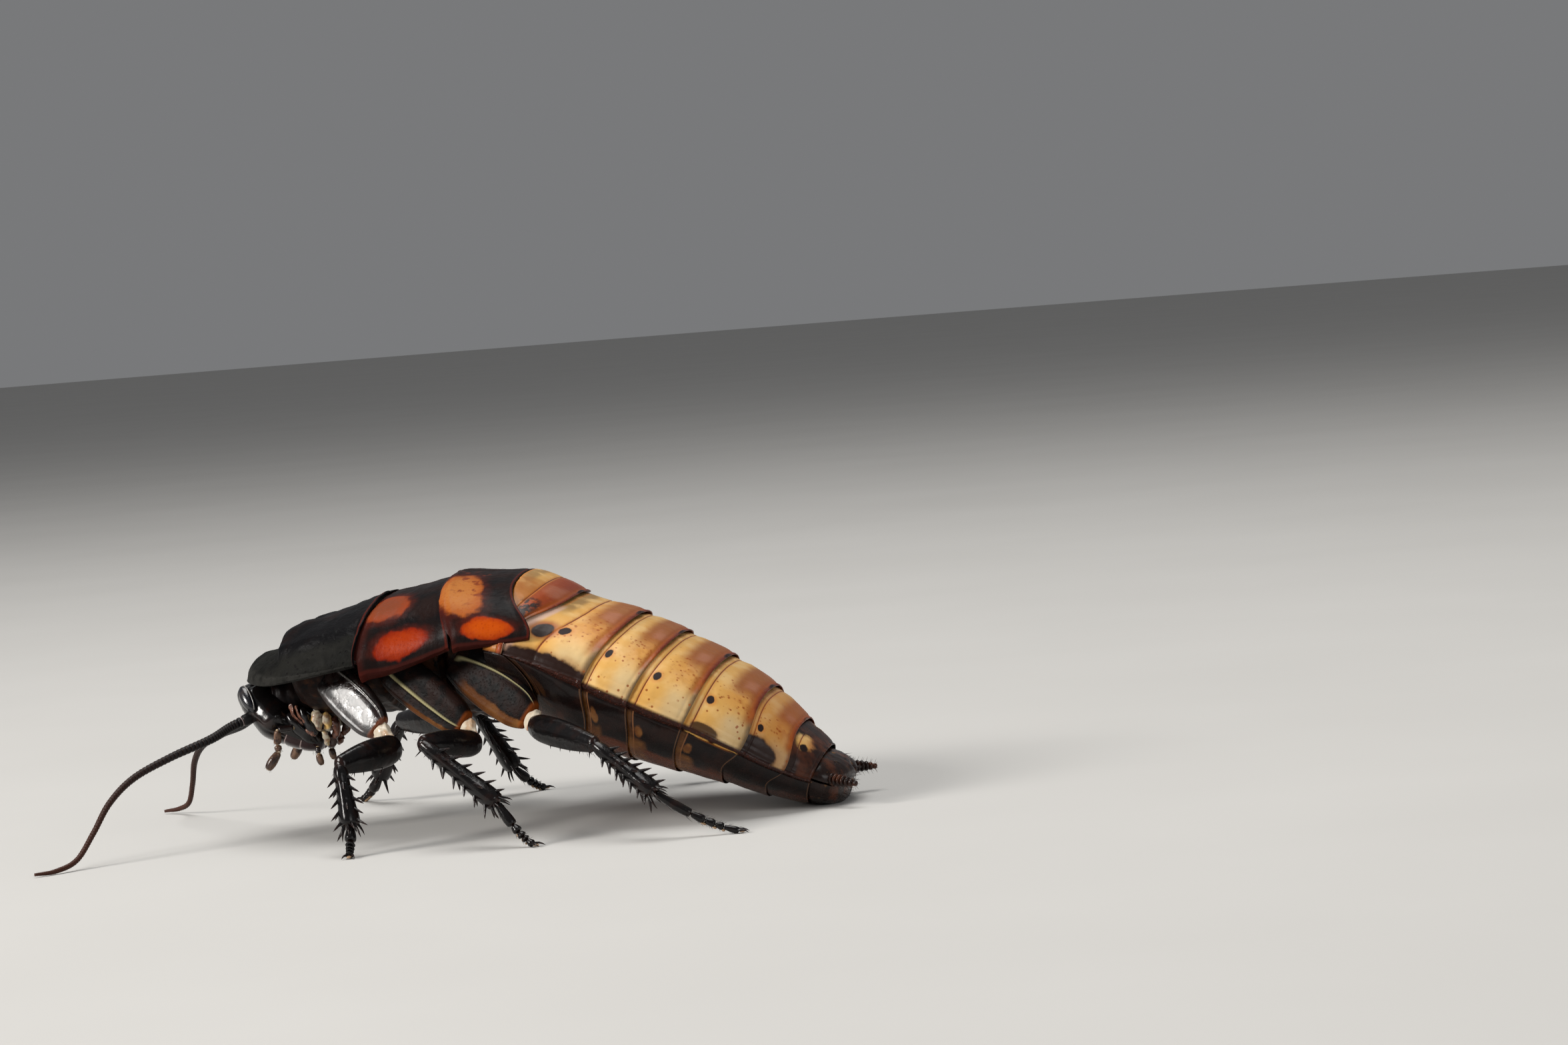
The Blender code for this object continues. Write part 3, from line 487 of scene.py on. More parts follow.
def shield_paint():
    """kind is the share of the raised disc; u is the arc across and v the way from front to rear."""
    p = mirrored(Paint("pronotum_finish"))
    disc = p.kind.up(0.5, 0.25)
    pits = p.cells(0.55).up(0.20, 0.1)
    grain = p.noise(0.35, 5.0)
    dust = p.noise(2.2, 5.0, 3.0).up(0.5, 0.16)
    fold = p.noise(1.1, 4.0, 5.0, (0.45, 1.0, 1.0))
    flange = p.layers(SOOT, (DUSTY, dust), (BLACK, (1.0 - pits) * 0.8))
    top = p.layers((0.0042, 0.0040, 0.0046), (DARK_BROWN, p.noise(3.0, 3.0, 9.0).up(0.62, 0.12) * 0.35))
    colour = p.mix(flange, top, disc)
    hood_rim = (1.0 - p.v.up(0.035, 0.02)) * p.noise(1.0, 3.0, 2.0).up(0.42, 0.2)
    colour = p.mix(colour, GREY_RIM, hood_rim * 0.6)
    colour = p.layers(colour, (DEEP_RED, line(p.v, 0.984, 0.008) * 0.7), (BLACK, p.v.up(0.996, 0.003)))
    roughness = 0.56 - disc * 0.18 + grain.swing(0.3)
    height = pits * 0.5 * (1.0 - disc * 0.8) + grain * 0.6 + fold * 0.4
    return p.done(colour, roughness, height, depth=0.10, coat=0.0, coat_roughness=0.3, specular=0.04)


def notum_paint(name, patches, streak):
    """A black plate with coloured patches on each side. A patch is its colour, a second colour that mottles
    it, its middle and half sizes over the arc across and the way to the rear, and its strength."""
    p = mirrored(Paint(f"{name}_finish"))
    grain = p.noise(0.4, 5.0)
    fold = p.noise(1.0, 4.0, 5.0, (0.4, 1.0, 1.0))
    warm = p.noise(2.0, 3.0, 6.0).up(0.5, 0.2)
    colour = p.layers(
        (0.0050, 0.0042, 0.0046),
        (DARK_BROWN, warm * 0.55),
        (DEEP_RED, (1.0 - p.v.up(0.05, 0.05)) * 0.30),
        (DEEP_RED, p.u.up(0.972, 0.012) * 0.35),
    )
    for first, second, (u, v, wide, long), strength in patches:
        halo = p.spot(u, v, wide * 1.18, long * 1.18, 0.25, 0.5, 0.9) * (1.0 - p.u.up(0.915, 0.02))
        inside = p.spot(u, v, wide, long, 0.11, 0.8, 1.7)
        core = p.spot(u, v, wide * 0.8, long * 0.8, 0.5, 0.6, 0.5)
        speck = p.cells(0.36, shift=u * 9).up(0.22, 0.12)
        tint = p.mix(second, first, core * (0.5 + 0.5 * speck))
        colour = p.layers(colour, (DEEP_RED, halo * 0.5), (tint, inside * strength))
    if streak:
        smudge = p.noise(1.1, 4.0, 2.0).up(0.60, 0.05)
        colour = p.mix(colour, streak, smudge * p.u.band(0.1, 0.6, 0.1) * p.v.band(0.1, 0.6, 0.1) * 0.8)
    colour = p.layers(
        colour,
        (DARK_BROWN, p.u.band(-1.0, 0.02, 0.015) * 0.6),
        (DEEP_RED, line(p.v, 0.978, 0.012) * 0.7),
        (BLACK, p.v.up(0.996, 0.003)),
    )
    roughness = 0.36 + grain.swing(0.26)
    height = grain * 0.6 + fold * 0.4 * (1.0 - p.u.up(0.86, 0.08))
    return p.done(colour, roughness, height, depth=0.06, coat=0.015, coat_roughness=0.2, specular=0.04)


MESONOTUM_PATCHES = (
    ((0.18, 0.044, 0.018), (0.24, 0.036, 0.007), (0.43, 0.20, 0.17, 0.32), 0.95),
    ((0.29, 0.027, 0.002), (0.17, 0.010, 0.002), (0.820, 0.48, 0.122, 0.30), 1.0),
)
METANOTUM_PATCHES = (
    ((0.38, 0.135, 0.030), (0.30, 0.065, 0.009), (0.46, 0.24, 0.26, 0.36), 0.97),
    ((0.42, 0.058, 0.002), (0.26, 0.022, 0.002), (0.855, 0.50, 0.110, 0.32), 1.0),
)
# For each back plate of the abdomen: how orange it is, the place of its suture, its oval spot's angle over
# 100 and place (no spot where that is 0), the middle, half sizes and strength of its low dark blotch, and
# how dark it all is
TERGITES = (
    (1.0, 0.42, (0.52, 0.0), None, 0.0),
    (0.35, 0.38, (0.545, 0.46), (0.93, 0.50, 0.135, 0.62, 1.0), 0.0),
    (0.15, 0.11, (0.60, 0.19), None, 0.0),
    (0.10, 0.14, (0.61, 0.25), None, 0.0),
    (0.10, 0.13, (0.59, 0.23), (0.885, 0.34, 0.055, 0.24, 0.85), 0.0),
    (0.25, 0.11, (0.57, 0.20), (0.85, 0.28, 0.17, 0.46, 1.0), 0.0),
    (0.5, 0.2, (0.6, 0.3), None, 0.9),
)


def tergite_paint(index):
    """u is the angle from the back's midline over 100, v the way from front to rear."""
    orange, suture, (spot_u, spot_v), blotch, dark = TERGITES[index]
    p = mirrored(Paint(f"tergite_{index + 1}_finish"))
    shift = index * 3.7
    mottle = p.noise(2.4, 3.0, shift)
    cloud = p.noise(1.0, 4.0, shift + 8.0)
    fine = p.noise(0.4, 5.0)
    wobble = mottle.swing(0.20) + cloud.swing(0.07)
    u, v = p.u + wobble, p.v + wobble * 0.35
    behind = p.v.up(suture + 0.02, 0.02)
    top = 1.0 - u.up(0.34, 0.09)
    upper = 1.0 - u.up(0.56, 0.12)
    dots = 1.0 - p.cells(0.66, shift=shift).up(0.19, 0.06)
    dots = dots * p.noise(1.5, 2.0, shift + 4.0).up(0.46, 0.06) * behind * u.up(0.22, 0.08)
    smudges = p.cells(0.5, shift=shift + 5.0).up(0.30, 0.14)
    smudges = (1.0 - smudges) * cloud.up(0.50, 0.07) * p.spot(0.46, 0.66, 0.17, 0.30, 0.5)
    colour = p.layers(
        p.mix(IVORY, CREAM, mottle.up(0.46, 0.14)),
        (ORANGE, upper * v.up(0.42, 0.22) * (0.34 + 0.4 * orange)),
        (ORANGE_BROWN, upper * cloud.up(0.54, 0.10) * v.up(0.55, 0.2) * 0.35),
        (PALE_BLUE, u.up(0.64, 0.10) * v.band(0.55, 1.0, 0.14) * 0.6),
        (MAUVE, top * v.up(0.40 + suture * 0.3, 0.12) * (0.92 - 0.35 * orange)),
        # Painted highlight: a pale rosy stripe along the rising rear of each plate, where the curved back
        # catches the light.
        (ROSY, line(u, 0.20, 0.06) * v.band(0.62, 0.90, 0.08) * 0.75),
        # Painted shade: smoky grey at the top of the front strip, where the lip of the plate before casts
        # its shadow.
        (SMOKY, top * (1.0 - p.v.up(suture * 0.55, 0.05)) * mottle.up(0.46, 0.08) * 0.55),
    )
    if orange > 0.9:
        wedge = p.spot(0.60, 0.85, 0.13, 0.30, 0.35, 0.5, 0.8)
        specks = p.noise(0.8, 4.0, 3.0).up(0.47, 0.06) * p.spot(0.47, 0.60, 0.095, 0.24, 0.35)
        colour = p.layers(
            colour,
            ((0.32, 0.095, 0.012), (1.0 - behind) * u.up(0.16, 0.1) * 0.85),
            ((0.27, 0.036, 0.005), behind * 0.92),
            ((0.16, 0.018, 0.004), v.up(0.74, 0.2) * 0.65),
            # Painted highlight: the same pale rosy stripe along the curve of the back, wider on this plate.
            (ROSY, line(u, 0.20, 0.09) * v.band(0.5, 0.9, 0.10) * 0.5),
            (DARK_BROWN, specks),
            (DARK_BROWN, wedge * 0.9),
        )
    rear = v.up(0.86, 0.09)
    colour = p.layers(
        colour,
        (ORANGE_BROWN, rear * (1.0 - u.up(0.64, 0.08)) * 0.95),
        (RED_BROWN, v.up(0.94, 0.045) * (1.0 - u.up(0.44, 0.08))),
        (SMOKY, v.up(0.93, 0.05) * u.up(0.58, 0.1) * 0.9),
        (ORANGE_BROWN, smudges * 0.85),
        ((0.28, 0.060, 0.008), dots * 0.85),
        (ORANGE, line(p.v, 0.035, 0.018) * 0.55),
        (ORANGE, line(p.v, suture, 0.035) * 0.4),
        (RED_BROWN, line(p.v, suture, 0.011) * 0.95),
        (DARK_BROWN, p.spot(0.0, 0.975, 0.055, 0.035) * 0.95),
    )
    if index == 5:
        colour = p.mix(colour, ORANGE_BROWN, 0.35)
    if index == 1:
        front = 1.0 - p.v.up(0.10, 0.03)
        colour = p.layers(
            colour,
            ((0.66, 0.44, 0.34), front * u.up(0.30, 0.06) * 0.9),
            (ORANGE_BROWN, p.spot(0.60, 0.25, 0.105, 0.17, 0.35) * 0.9),
            (DARK_BROWN, p.spot(0.61, 0.25, 0.080, 0.115, 0.12, 0.2)),
        )
    if spot_v:
        halo = p.spot(spot_u, spot_v, 0.062, 0.11, 0.4)
        oval = p.spot(spot_u, spot_v, 0.044, 0.068, 0.13, 0.35, 0.4)
        colour = p.layers(colour, (ORANGE, halo * 0.6), ((0.014, 0.005, 0.004), oval))
    if blotch:
        place_u, place_v, wide, long, strength = blotch
        low = p.spot(place_u, place_v, wide, long, 0.12, 0.5, 1.1)
        halo = p.spot(place_u, place_v, wide * 1.1, long * 1.1, 0.35, 0.5, 1.1)
        rim = (0.22, 0.075, 0.018)
        colour = p.layers(colour, (rim, halo * 0.7 * strength), (DARK_BROWN, low * strength))
    if dark:
        pale = p.spot(0.34, 0.34, 0.13, 0.28, 0.35, 1.0, 0.8)
        colour = p.mix(p.mix(DARK_BROWN, (0.075, 0.022, 0.010), mottle.up(0.5, 0.1)), colour, pale * 0.9)
        colour = p.mix(colour, (0.012, 0.005, 0.004), p.spot(0.45, 0.36, 0.06, 0.13, 0.2, 0.6, 0.4))
    flank = p.u.up(0.896, 0.010)
    bead = p.cells(0.34, shift=shift + 2).up(0.35, 0.15)
    colour = p.mix(colour, p.mix((0.050, 0.012, 0.007), DARK_BROWN, bead * 0.7), flank)
    if index == 4:
        strips = p.v.band(0.06, 0.47, 0.04) + p.v.band(0.58, 0.97, 0.04)
        colour = p.mix(colour, CREAM, p.u.band(0.932, 0.965, 0.008) * strips * 0.9)
    roughness = 0.38 + fine.swing(0.20) - flank * 0.16
    if spot_v:
        roughness = roughness + oval * 0.25
    height = fine * 0.25 + p.noise(1.0, 4.0, shift, (0.5, 1.0, 1.0)) * 0.35 + bead * flank * 0.6
    return p.done(colour, roughness, height, depth=0.06, coat=0.03, coat_roughness=0.2, specular=0.18)


def sternite_paint():
    """u is the angle from the flank over 100, v the way from front to rear and kind the segment."""
    p = Paint("belly_finish")
    mottle = p.noise(2.2, 4.0, 2.0)
    fine = p.noise(0.4, 5.0)
    wobble = mottle.swing(0.22)
    u, v = p.u + wobble, p.v + wobble
    early = p.kind.band(1.2, 4.5, 0.4)
    strip = (1.0 - v.up(0.10, 0.03)) * u.up(0.07, 0.03)
    low_front = u.up(0.29, 0.04) * (1.0 - v.up(0.36, 0.07))
    oval = p.spot(0.19, 0.22, 0.052, 0.085, 0.28, 0.8, 0.6)
    ochre = p.mix((0.22, 0.090, 0.024), (0.13, 0.045, 0.012), p.noise(1.2, 4.0, 6.0).up(0.5, 0.15))
    low = u.up(0.37, 0.05)
    colour = p.layers(
        (0.0060, 0.0036, 0.0034),
        (DARK_BROWN, mottle.up(0.55, 0.14) * 0.8),
        ((0.13, 0.030, 0.008), low * (0.35 + 0.5 * early)),
        ((0.15, 0.062, 0.030), u.up(0.60, 0.15) * 0.5),
        (ochre, strip * early * 0.7),
        (ochre, low_front * early * (1.0 - u.up(0.55, 0.12)) * 0.85),
        (ochre, oval * early * 0.8),
        (ORANGE, line(p.u, 0.04, 0.015) * p.kind.band(3.5, 4.5, 0.2) * p.v.band(0.3, 0.85, 0.1) * 0.6),
        ((0.30, 0.12, 0.045), line(p.v, 0.115, 0.012) * 0.6 * early),
        ((0.16, 0.08, 0.04), line(p.v, 0.975, 0.010) * 0.5),
    )
    height = fine * 0.3 + p.noise(1.0, 4.0, 4.0, (1.0, 0.5, 0.5)) * 0.5
    return p.done(
        colour, 0.26 + fine.swing(0.16), height,
        depth=0.06, coat=0.06, coat_roughness=0.12, specular=0.16,
    )


def tail_paint():
    """Dark brown with red-brown clouds, the same on the tail's plates and cerci."""
    p = Paint("tail_finish")
    mottle = p.noise(1.6, 4.0, 6.0)
    fine = p.noise(0.4, 5.0)
    colour = p.layers(
        BROWN_SHELL,
        ((0.085, 0.024, 0.009), mottle.up(0.55, 0.1) * 0.8),
        (TAN, p.noise(1.1, 3.0, 8.0).up(0.68, 0.05) * 0.35),
    )
    return p.done(
        colour, 0.28 + fine.swing(0.2), fine * 0.4 + mottle * 0.4,
        depth=0.06, coat=0.10, coat_roughness=0.14, specular=0.18,
    )


def leg_paint():
    """kind is 0 on a limb, 1 at its joints' soft skin, 2 on spines and claws and 3 on pads."""
    p = Paint("leg_finish")
    mottle = p.noise(1.4, 4.0, 1.0)
    fine = p.noise(0.3, 5.0)
    joint = (1.0 - p.v.up(0.03, 0.03)) + p.v.up(0.965, 0.03)
    limb_colour = p.layers(
        (0.0045, 0.0038, 0.0040),
        (DARK_BROWN, mottle.up(0.60, 0.12) * 0.5),
        (DARK_BROWN, joint.math("MINIMUM", 1.0) * 0.8),
    )
    spiny = p.layers(BLACK, (DARK_BROWN, p.v.up(0.5, 0.4) * 0.8))
    colour = p.layers(
        limb_colour,
        (p.mix(TAN, CREAM, mottle), p.part(1)),
        (spiny, p.part(2)),
        ((0.34, 0.22, 0.13), p.kind.up(2.5, 0.02)),
    )
    lumps = p.noise(0.9, 3.0, 2.0, (0.5, 1.0, 1.0))
    return p.done(
        colour, 0.20 + fine.swing(0.2), fine * 0.25 + lumps * 0.9,
        depth=0.09, coat=0.13, coat_roughness=0.08, specular=0.20,
    )


def coxa_paint(name):
    """u runs round the plate: 0 at its upper edge, 0.25 on its outer face and 0.5 at its lower edge."""
    p = Paint(f"{name}_coxa_finish")
    mottle = p.noise(1.2, 4.0, 1.0)
    fine = p.noise(0.3, 5.0)
    pits = p.cells(0.30).up(0.28, 0.1)
    soft = p.part(1)
    front = name == "front"
    body = p.mix(SHELL, DARK_BROWN, mottle.up(0.5, 0.12) * 0.7)
    first, last = COXA_KEEL[name]
    way = p.u * (2 * math.pi) - first + p.v * (first - last)
    keel = line(way, 0.0, 0.046) * p.v.band(0.06, 0.96, 0.04)
    if front:
        body = p.mix(body, (0.16, 0.15, 0.13), keel * 0.6)
    else:
        low = 0.355 if name == "mid" else 0.305
        ragged = p.u + mottle.swing(0.05)
        lower = ragged.band(low, 0.47, 0.012) * p.v.up(0.40 if name == "mid" else 0.26, 0.08)
        skin = p.mix((0.11, 0.036, 0.009), (0.24, 0.105, 0.032), mottle.up(0.5, 0.2) * p.v.up(0.7, 0.3))
        body = p.layers(body, (skin, lower * 0.9), (OLIVE, keel * 0.9))
    tip = p.v.up(0.955, 0.02)
    knuckle = p.layers(
        (0.62, 0.54, 0.42),
        (ORANGE_BROWN, p.v.up(0.60, 0.1) * 0.95),
        (TAN, mottle.up(0.55, 0.1) * 0.6),
    )
    colour = p.layers(body, (ORANGE_BROWN, tip * 0.5), (knuckle, soft))
    lines = p.noise(0.5, 4.0, 2.0, (0.4, 1.0, 1.0))
    height = fine * 0.2 + lines * 0.4 + pits * (0.1 if front else 0.25)
    roughness = 0.40 - soft * 0.12 + fine.swing(0.2)
    if front:
        worn = p.noise(0.9, 5.0, 3.0).up(0.50, 0.10)
        height = height + worn * 0.5 + p.noise(1.6, 3.0, 5.0) * 1.2
        roughness = roughness - 0.20 + worn * 0.22 + p.u.up(0.30, 0.03) * 0.15
    return p.done(
        colour, roughness, height,
        depth=0.05, coat=0.3 if front else 0.0, coat_roughness=0.10, specular=0.5 if front else 0.04,
    )


def head_paint():
    """kind is 0 on the skull, 1 on the upper lip and 2 on its soft seams."""
    p = Paint("head_finish")
    mottle = p.noise(1.2, 4.0, 1.0)
    fine = p.noise(0.25, 5.0)
    colour = p.layers(
        SHELL,
        (DARK_BROWN, mottle.up(0.60, 0.1) * 0.7),
        (p.mix(BLACK, (0.045, 0.010, 0.012), mottle), p.part(1)),
        ((0.42, 0.32, 0.30), p.kind.up(1.5, 0.02)),
    )
    return p.done(
        colour, 0.17 + fine.swing(0.2), fine * 0.3 + mottle * 0.4,
        depth=0.05, coat=0.28, coat_roughness=0.08, specular=0.32,
    )


def mouth_paint():
    """kind is 0 on brown lobes, 1 to 1.5 on pale soft ones, 2 on black ones, 3 on tan folds, 4 on the palps
    and 5 on their first lengths."""
    p = Paint("mouthparts_finish")
    mottle = p.noise(0.8, 4.0, 1.0)
    cloud = p.noise(0.45, 3.0, 4.0)
    fine = p.noise(0.25, 5.0)
    pale = p.layers(
        (0.50, 0.44, 0.33),
        ((0.62, 0.40, 0.13), p.noise(1.3, 3.0, 3.0).up(0.50, 0.08)),
        ((0.30, 0.15, 0.10), cloud.up(0.56, 0.08) * 0.6),
        ((0.16, 0.06, 0.035), mottle.up(0.60, 0.06) * 0.7),
    )
    palp = p.layers((0.030, 0.014, 0.010), ((0.16, 0.085, 0.05), mottle.up(0.5, 0.12)))
    palp = p.layers(palp, ((0.44, 0.34, 0.24), (1.0 - p.v.up(0.05, 0.04)) + p.v.up(0.95, 0.04)))
    colour = p.layers(
        p.mix((0.035, 0.013, 0.009), (0.14, 0.05, 0.028), mottle.up(0.5, 0.1)),
        (pale, p.kind.band(0.5, 1.7, 0.02)),
        (BLACK, p.kind.band(1.7, 2.5, 0.02)),
        (p.mix((0.19, 0.085, 0.055), (0.07, 0.026, 0.018), cloud.up(0.5, 0.1)), p.part(3)),
        (palp, p.part(4)),
        (p.mix(BLACK, DARK_BROWN, mottle), p.kind.up(4.5, 0.02)),
    )
    return p.done(
        colour, 0.24 + fine.swing(0.2), fine * 0.4 + cloud * 0.5,
        depth=0.07, coat=0.25, coat_roughness=0.10, specular=0.4,
    )


def eye_paint():
    """kind is 1 on the rim."""
    p = Paint("eye_finish")
    facets = p.cells(0.11)
    sheen = p.noise(1.6, 2.0)
    colour = p.mix((0.006, 0.006, 0.009), (0.05, 0.036, 0.030), sheen.up(0.55, 0.1) * 0.6)
    colour = p.mix(colour, (0.20, 0.19, 0.18), p.kind.up(0.5, 0.1))
    return p.done(colour, 0.22, 1.0 - facets, depth=0.008, coat=0.4, coat_roughness=0.08)


def feeler_paint():
    """v runs from 0 to 1 along each ring of the feeler; kind is how far along the feeler it lies."""
    p = Paint("feeler_finish")
    fine = p.noise(0.15, 4.0)
    shell = p.mix(BLACK, (0.050, 0.015, 0.008), p.kind.up(0.55, 0.35))
    colour = p.layers(
        shell,
        ((0.09, 0.040, 0.022), p.v.up(0.92, 0.05) * 0.3),
        (PALE_RING, p.kind.band(-0.7, -0.3, 0.02)),
    )
    return p.done(
        colour, 0.42 + fine.swing(0.2), fine,
        depth=0.03, coat=0.0, coat_roughness=0.1, specular=0.2,
    )


def trunk_paint():
    """kind is 1 on the neck, which is painted darker as shade under the hood and behind the head. The dark
    trunk is partly its own dark brown and partly painted shade under the plates and between the legs.
    """
    p = Paint("trunk_finish")
    mottle = p.noise(1.8, 4.0, 1.0)
    fine = p.noise(0.4, 5.0)
    colour = p.layers(
        BROWN_SHELL,
        ((0.075, 0.027, 0.011), mottle.up(0.57, 0.07) * 0.55),
        # The black clouds and the black neck darken the trunk further as painted shade under the plates,
        # between the legs and under the hood.
        (BLACK, p.noise(1.0, 3.0, 7.0).up(0.58, 0.06)),
        (BLACK, p.kind.up(0.5, 0.1) * 0.85),
    )
    return p.done(
        colour, 0.40 + fine.swing(0.2), fine * 0.4 + mottle * 0.8,
        depth=0.12, coat=0.02, coat_roughness=0.2, specular=0.06,
    )


# The three plates over the thorax

SHIELD_WIDTH = 11.9
SHIELD_REAR = -10.6
SHIELD_LENGTH = 15.8
SHIELD_SIDE_POWER = 2.6
SHIELD_FRONT_POWER = 2.2
SHIELD_RISE_PLACES = (-26.4, -26.0, -25.2, -23.4, -21.4, -16.0, -10.6)
shield_rise = curve(SHIELD_RISE_PLACES, (0.2, 1.1, 1.8, 2.7, 3.2, 4.4, 5.8))
DISC_FRONT = -21.4
DISC_RAMP = 0.9
DISC_HEIGHT = 1.15
DISC_MARGIN = 1.5
BUMP = (-19.2, 4.3, 2.6, 0.5)  # its place, distance from the midline, radius and height
HOOD_LIFT = 0.8
PLATE_THICKNESS = 0.6
RIM_THICKNESS = 0.16
TUCK = 0.16  # how far a plate runs on under the one before it, as a share of its length


def dome(share):
    return np.maximum(0.0, 1 - np.abs(share) ** 2.3) ** 0.5


def shield_width(place):
    back = np.clip((SHIELD_REAR - place) / SHIELD_LENGTH, 0.0, 1.0)
    return np.maximum(SHIELD_WIDTH * (1 - back**SHIELD_SIDE_POWER) ** (1 / SHIELD_FRONT_POWER), 0.01)


class Plate:
    """An arched plate. share runs from -1 to 1 across it and v from 0 at its front to 1 at its rear."""

    @staticmethod
    def edge(numbers, share):
        base, second, sixth = numbers
        return base + second * share**2 + sixth * share**6

    def front(self, share):
        return self.edge(self.front_edge, share)

    def rear(self, share):
        return self.edge(self.rear_edge, share)

    def place(self, share, v):
        return self.front(share) + (self.rear(share) - self.front(share)) * v

    def points(self, share, v, drop, inward=0.0):
        """Points of the plate, lowered by drop and drawn in at the sides."""
        place = self.place(share, v)
        point, up = side_line(place)
        y = self.y(place, share) - inward * np.abs(share) * share
        return point + up * (self.height(place, share) - drop)[..., None] + sideways(y)


class Shield(Plate):
    """The pronotum, a hood with a flange round a raised disc."""

    rear_edge = (SHIELD_REAR + 0.15, -0.8, -1.3)

    def front(self, share):
        reach = (1 - np.abs(share) ** SHIELD_FRONT_POWER) ** (1 / SHIELD_SIDE_POWER)
        return np.minimum(SHIELD_REAR - SHIELD_LENGTH * reach, self.rear(share) - 0.9)

    def y(self, place, share):
        return share * SHIELD_WIDTH + 0 * place

    def disc(self, place, share):
        """How far a point is past the disc's front step, and how far inside its sides, from 0 to 1."""
        front = ease((place - DISC_FRONT) / DISC_RAMP)
        room = shield_width(place) - DISC_MARGIN * (1.5 - 0.5 * front) - np.abs(share * SHIELD_WIDTH)
        return front, ease(room / 1.6 + 0.5)

    def height(self, place, share):
        y = np.abs(share * SHIELD_WIDTH)
        off_middle = np.minimum(y / shield_width(place), 1.0)
        front, side = self.disc(place, share)
        fade = 1 - 0.8 * ease((place - DISC_FRONT - 3.0) / 8.0)
        bump_place, bump_y, bump_radius, bump_height = BUMP
        away = np.hypot(place - bump_place, y - bump_y) / bump_radius
        lift = HOOD_LIFT * ease((-22.0 - place) / 4.0) * (1 - 0.8 * off_middle)
        arch = shield_rise(np.maximum(place, SHIELD_RISE_PLACES[0])) * dome(off_middle)
        return lift + arch + DISC_HEIGHT * front * side * fade + bump_height * ease(1.3 - away) * front

    def kind(self, place, share):
        return np.multiply(*self.disc(place, share))

    def relief(self, points, share, v):
        """Wrinkles and pits, a groove along the middle and a rolled rim."""
        disc = self.kind(self.place(share, v), share)
        folds = wrinkles(points, (1.6, 0.8, 1.0), (2.0, 3.0, 0.10), (0.8, 9.0, 0.03))
        pits = -0.07 * ease((rough(points, 0.55, 5.0) - 0.18) / 0.3) * (1 - 0.8 * disc)
        groove = -0.18 * hill(share * SHIELD_WIDTH, 0.0, 0.25) * disc
        step = disc * (1 - disc) * 4 * rough(points, 1.1, 1.0) * 0.18
        lip = 0.04 * hill(v, 0.985, 0.012) - 0.03 * hill(v, 0.95, 0.015)
        hood = 0.10 * hill(v, 0.012, 0.012) - 0.08 * hill(v, 0.05, 0.02)
        return hood * (1 - disc) + folds * (0.5 + 0.6 * disc) + pits + groove + step + lip


class Notum(Plate):
    """A plate behind the shield. Its half width, lift and rise are given at its front and its rear, the lift
    with the power by which it grows. raised is how far its front bulges towards the plate before it."""

    def __init__(self, front, rear, width, lift, rise, seed, raised):
        self.front_edge, self.rear_edge = front, rear
        self.width, self.lift, self.rise = width, lift, rise
        self.seed, self.raised = seed, raised

    def part_way(self, place, first, last, power=1.0):
        start, stop = self.front_edge[0], sum(self.rear_edge)
        return first + (last - first) * np.clip((place - start) / (stop - start), 0.0, 1.0) ** power

    def y(self, place, share):
        return share * self.part_way(place, *self.width)

    def height(self, place, share):
        return self.part_way(place, *self.lift) + self.part_way(place, *self.rise) * dome(share)

    def kind(self, place, share):
        return np.zeros_like(place)

    def relief(self, points, share, v):
        """Folds, rims and a ridge along the middle."""
        side = np.abs(share)
        folds = wrinkles(points, (1.5, 0.7, 1.0), (2.2, self.seed, 0.06), (0.55, self.seed, 0.02))
        lip = 0.03 * hill(v, 0.975, 0.015) - 0.03 * hill(v, 0.92, 0.03) + 0.08 * hill(side, 0.99, 0.012)
        scallop = 0.10 * hill(side, 0.6, 0.2) * hill(v, 0.45, 0.25)
        front = (0.12 + self.raised * hill(side, 0.80, 0.24)) * (1 - ease(v / 0.7))
        return folds + lip + 0.06 * hill(share, 0.0, 0.02) + scallop + front


MESONOTUM = Notum(
    (SHIELD_REAR + 0.45, -0.8, -1.3), (-4.0, 0.5, 1.0), (11.7, 12.6), (-1.5, 0.3, 1.5), (7.3, 6.7), 4.0, 0.5
)
METANOTUM = Notum(
    (-3.65, 0.5, 1.0), (1.8, 0.1, 3.1), (12.6, 13.3), (0.1, 2.3, 2.5), (6.9, 5.9), 7.0, 0.1
)


def border(sheet):
    """The sheet's edge, once round."""
    return np.concatenate((sheet[0, :-1], sheet[:-1, -1], sheet[-1, :0:-1], sheet[:0:-1, 0]))


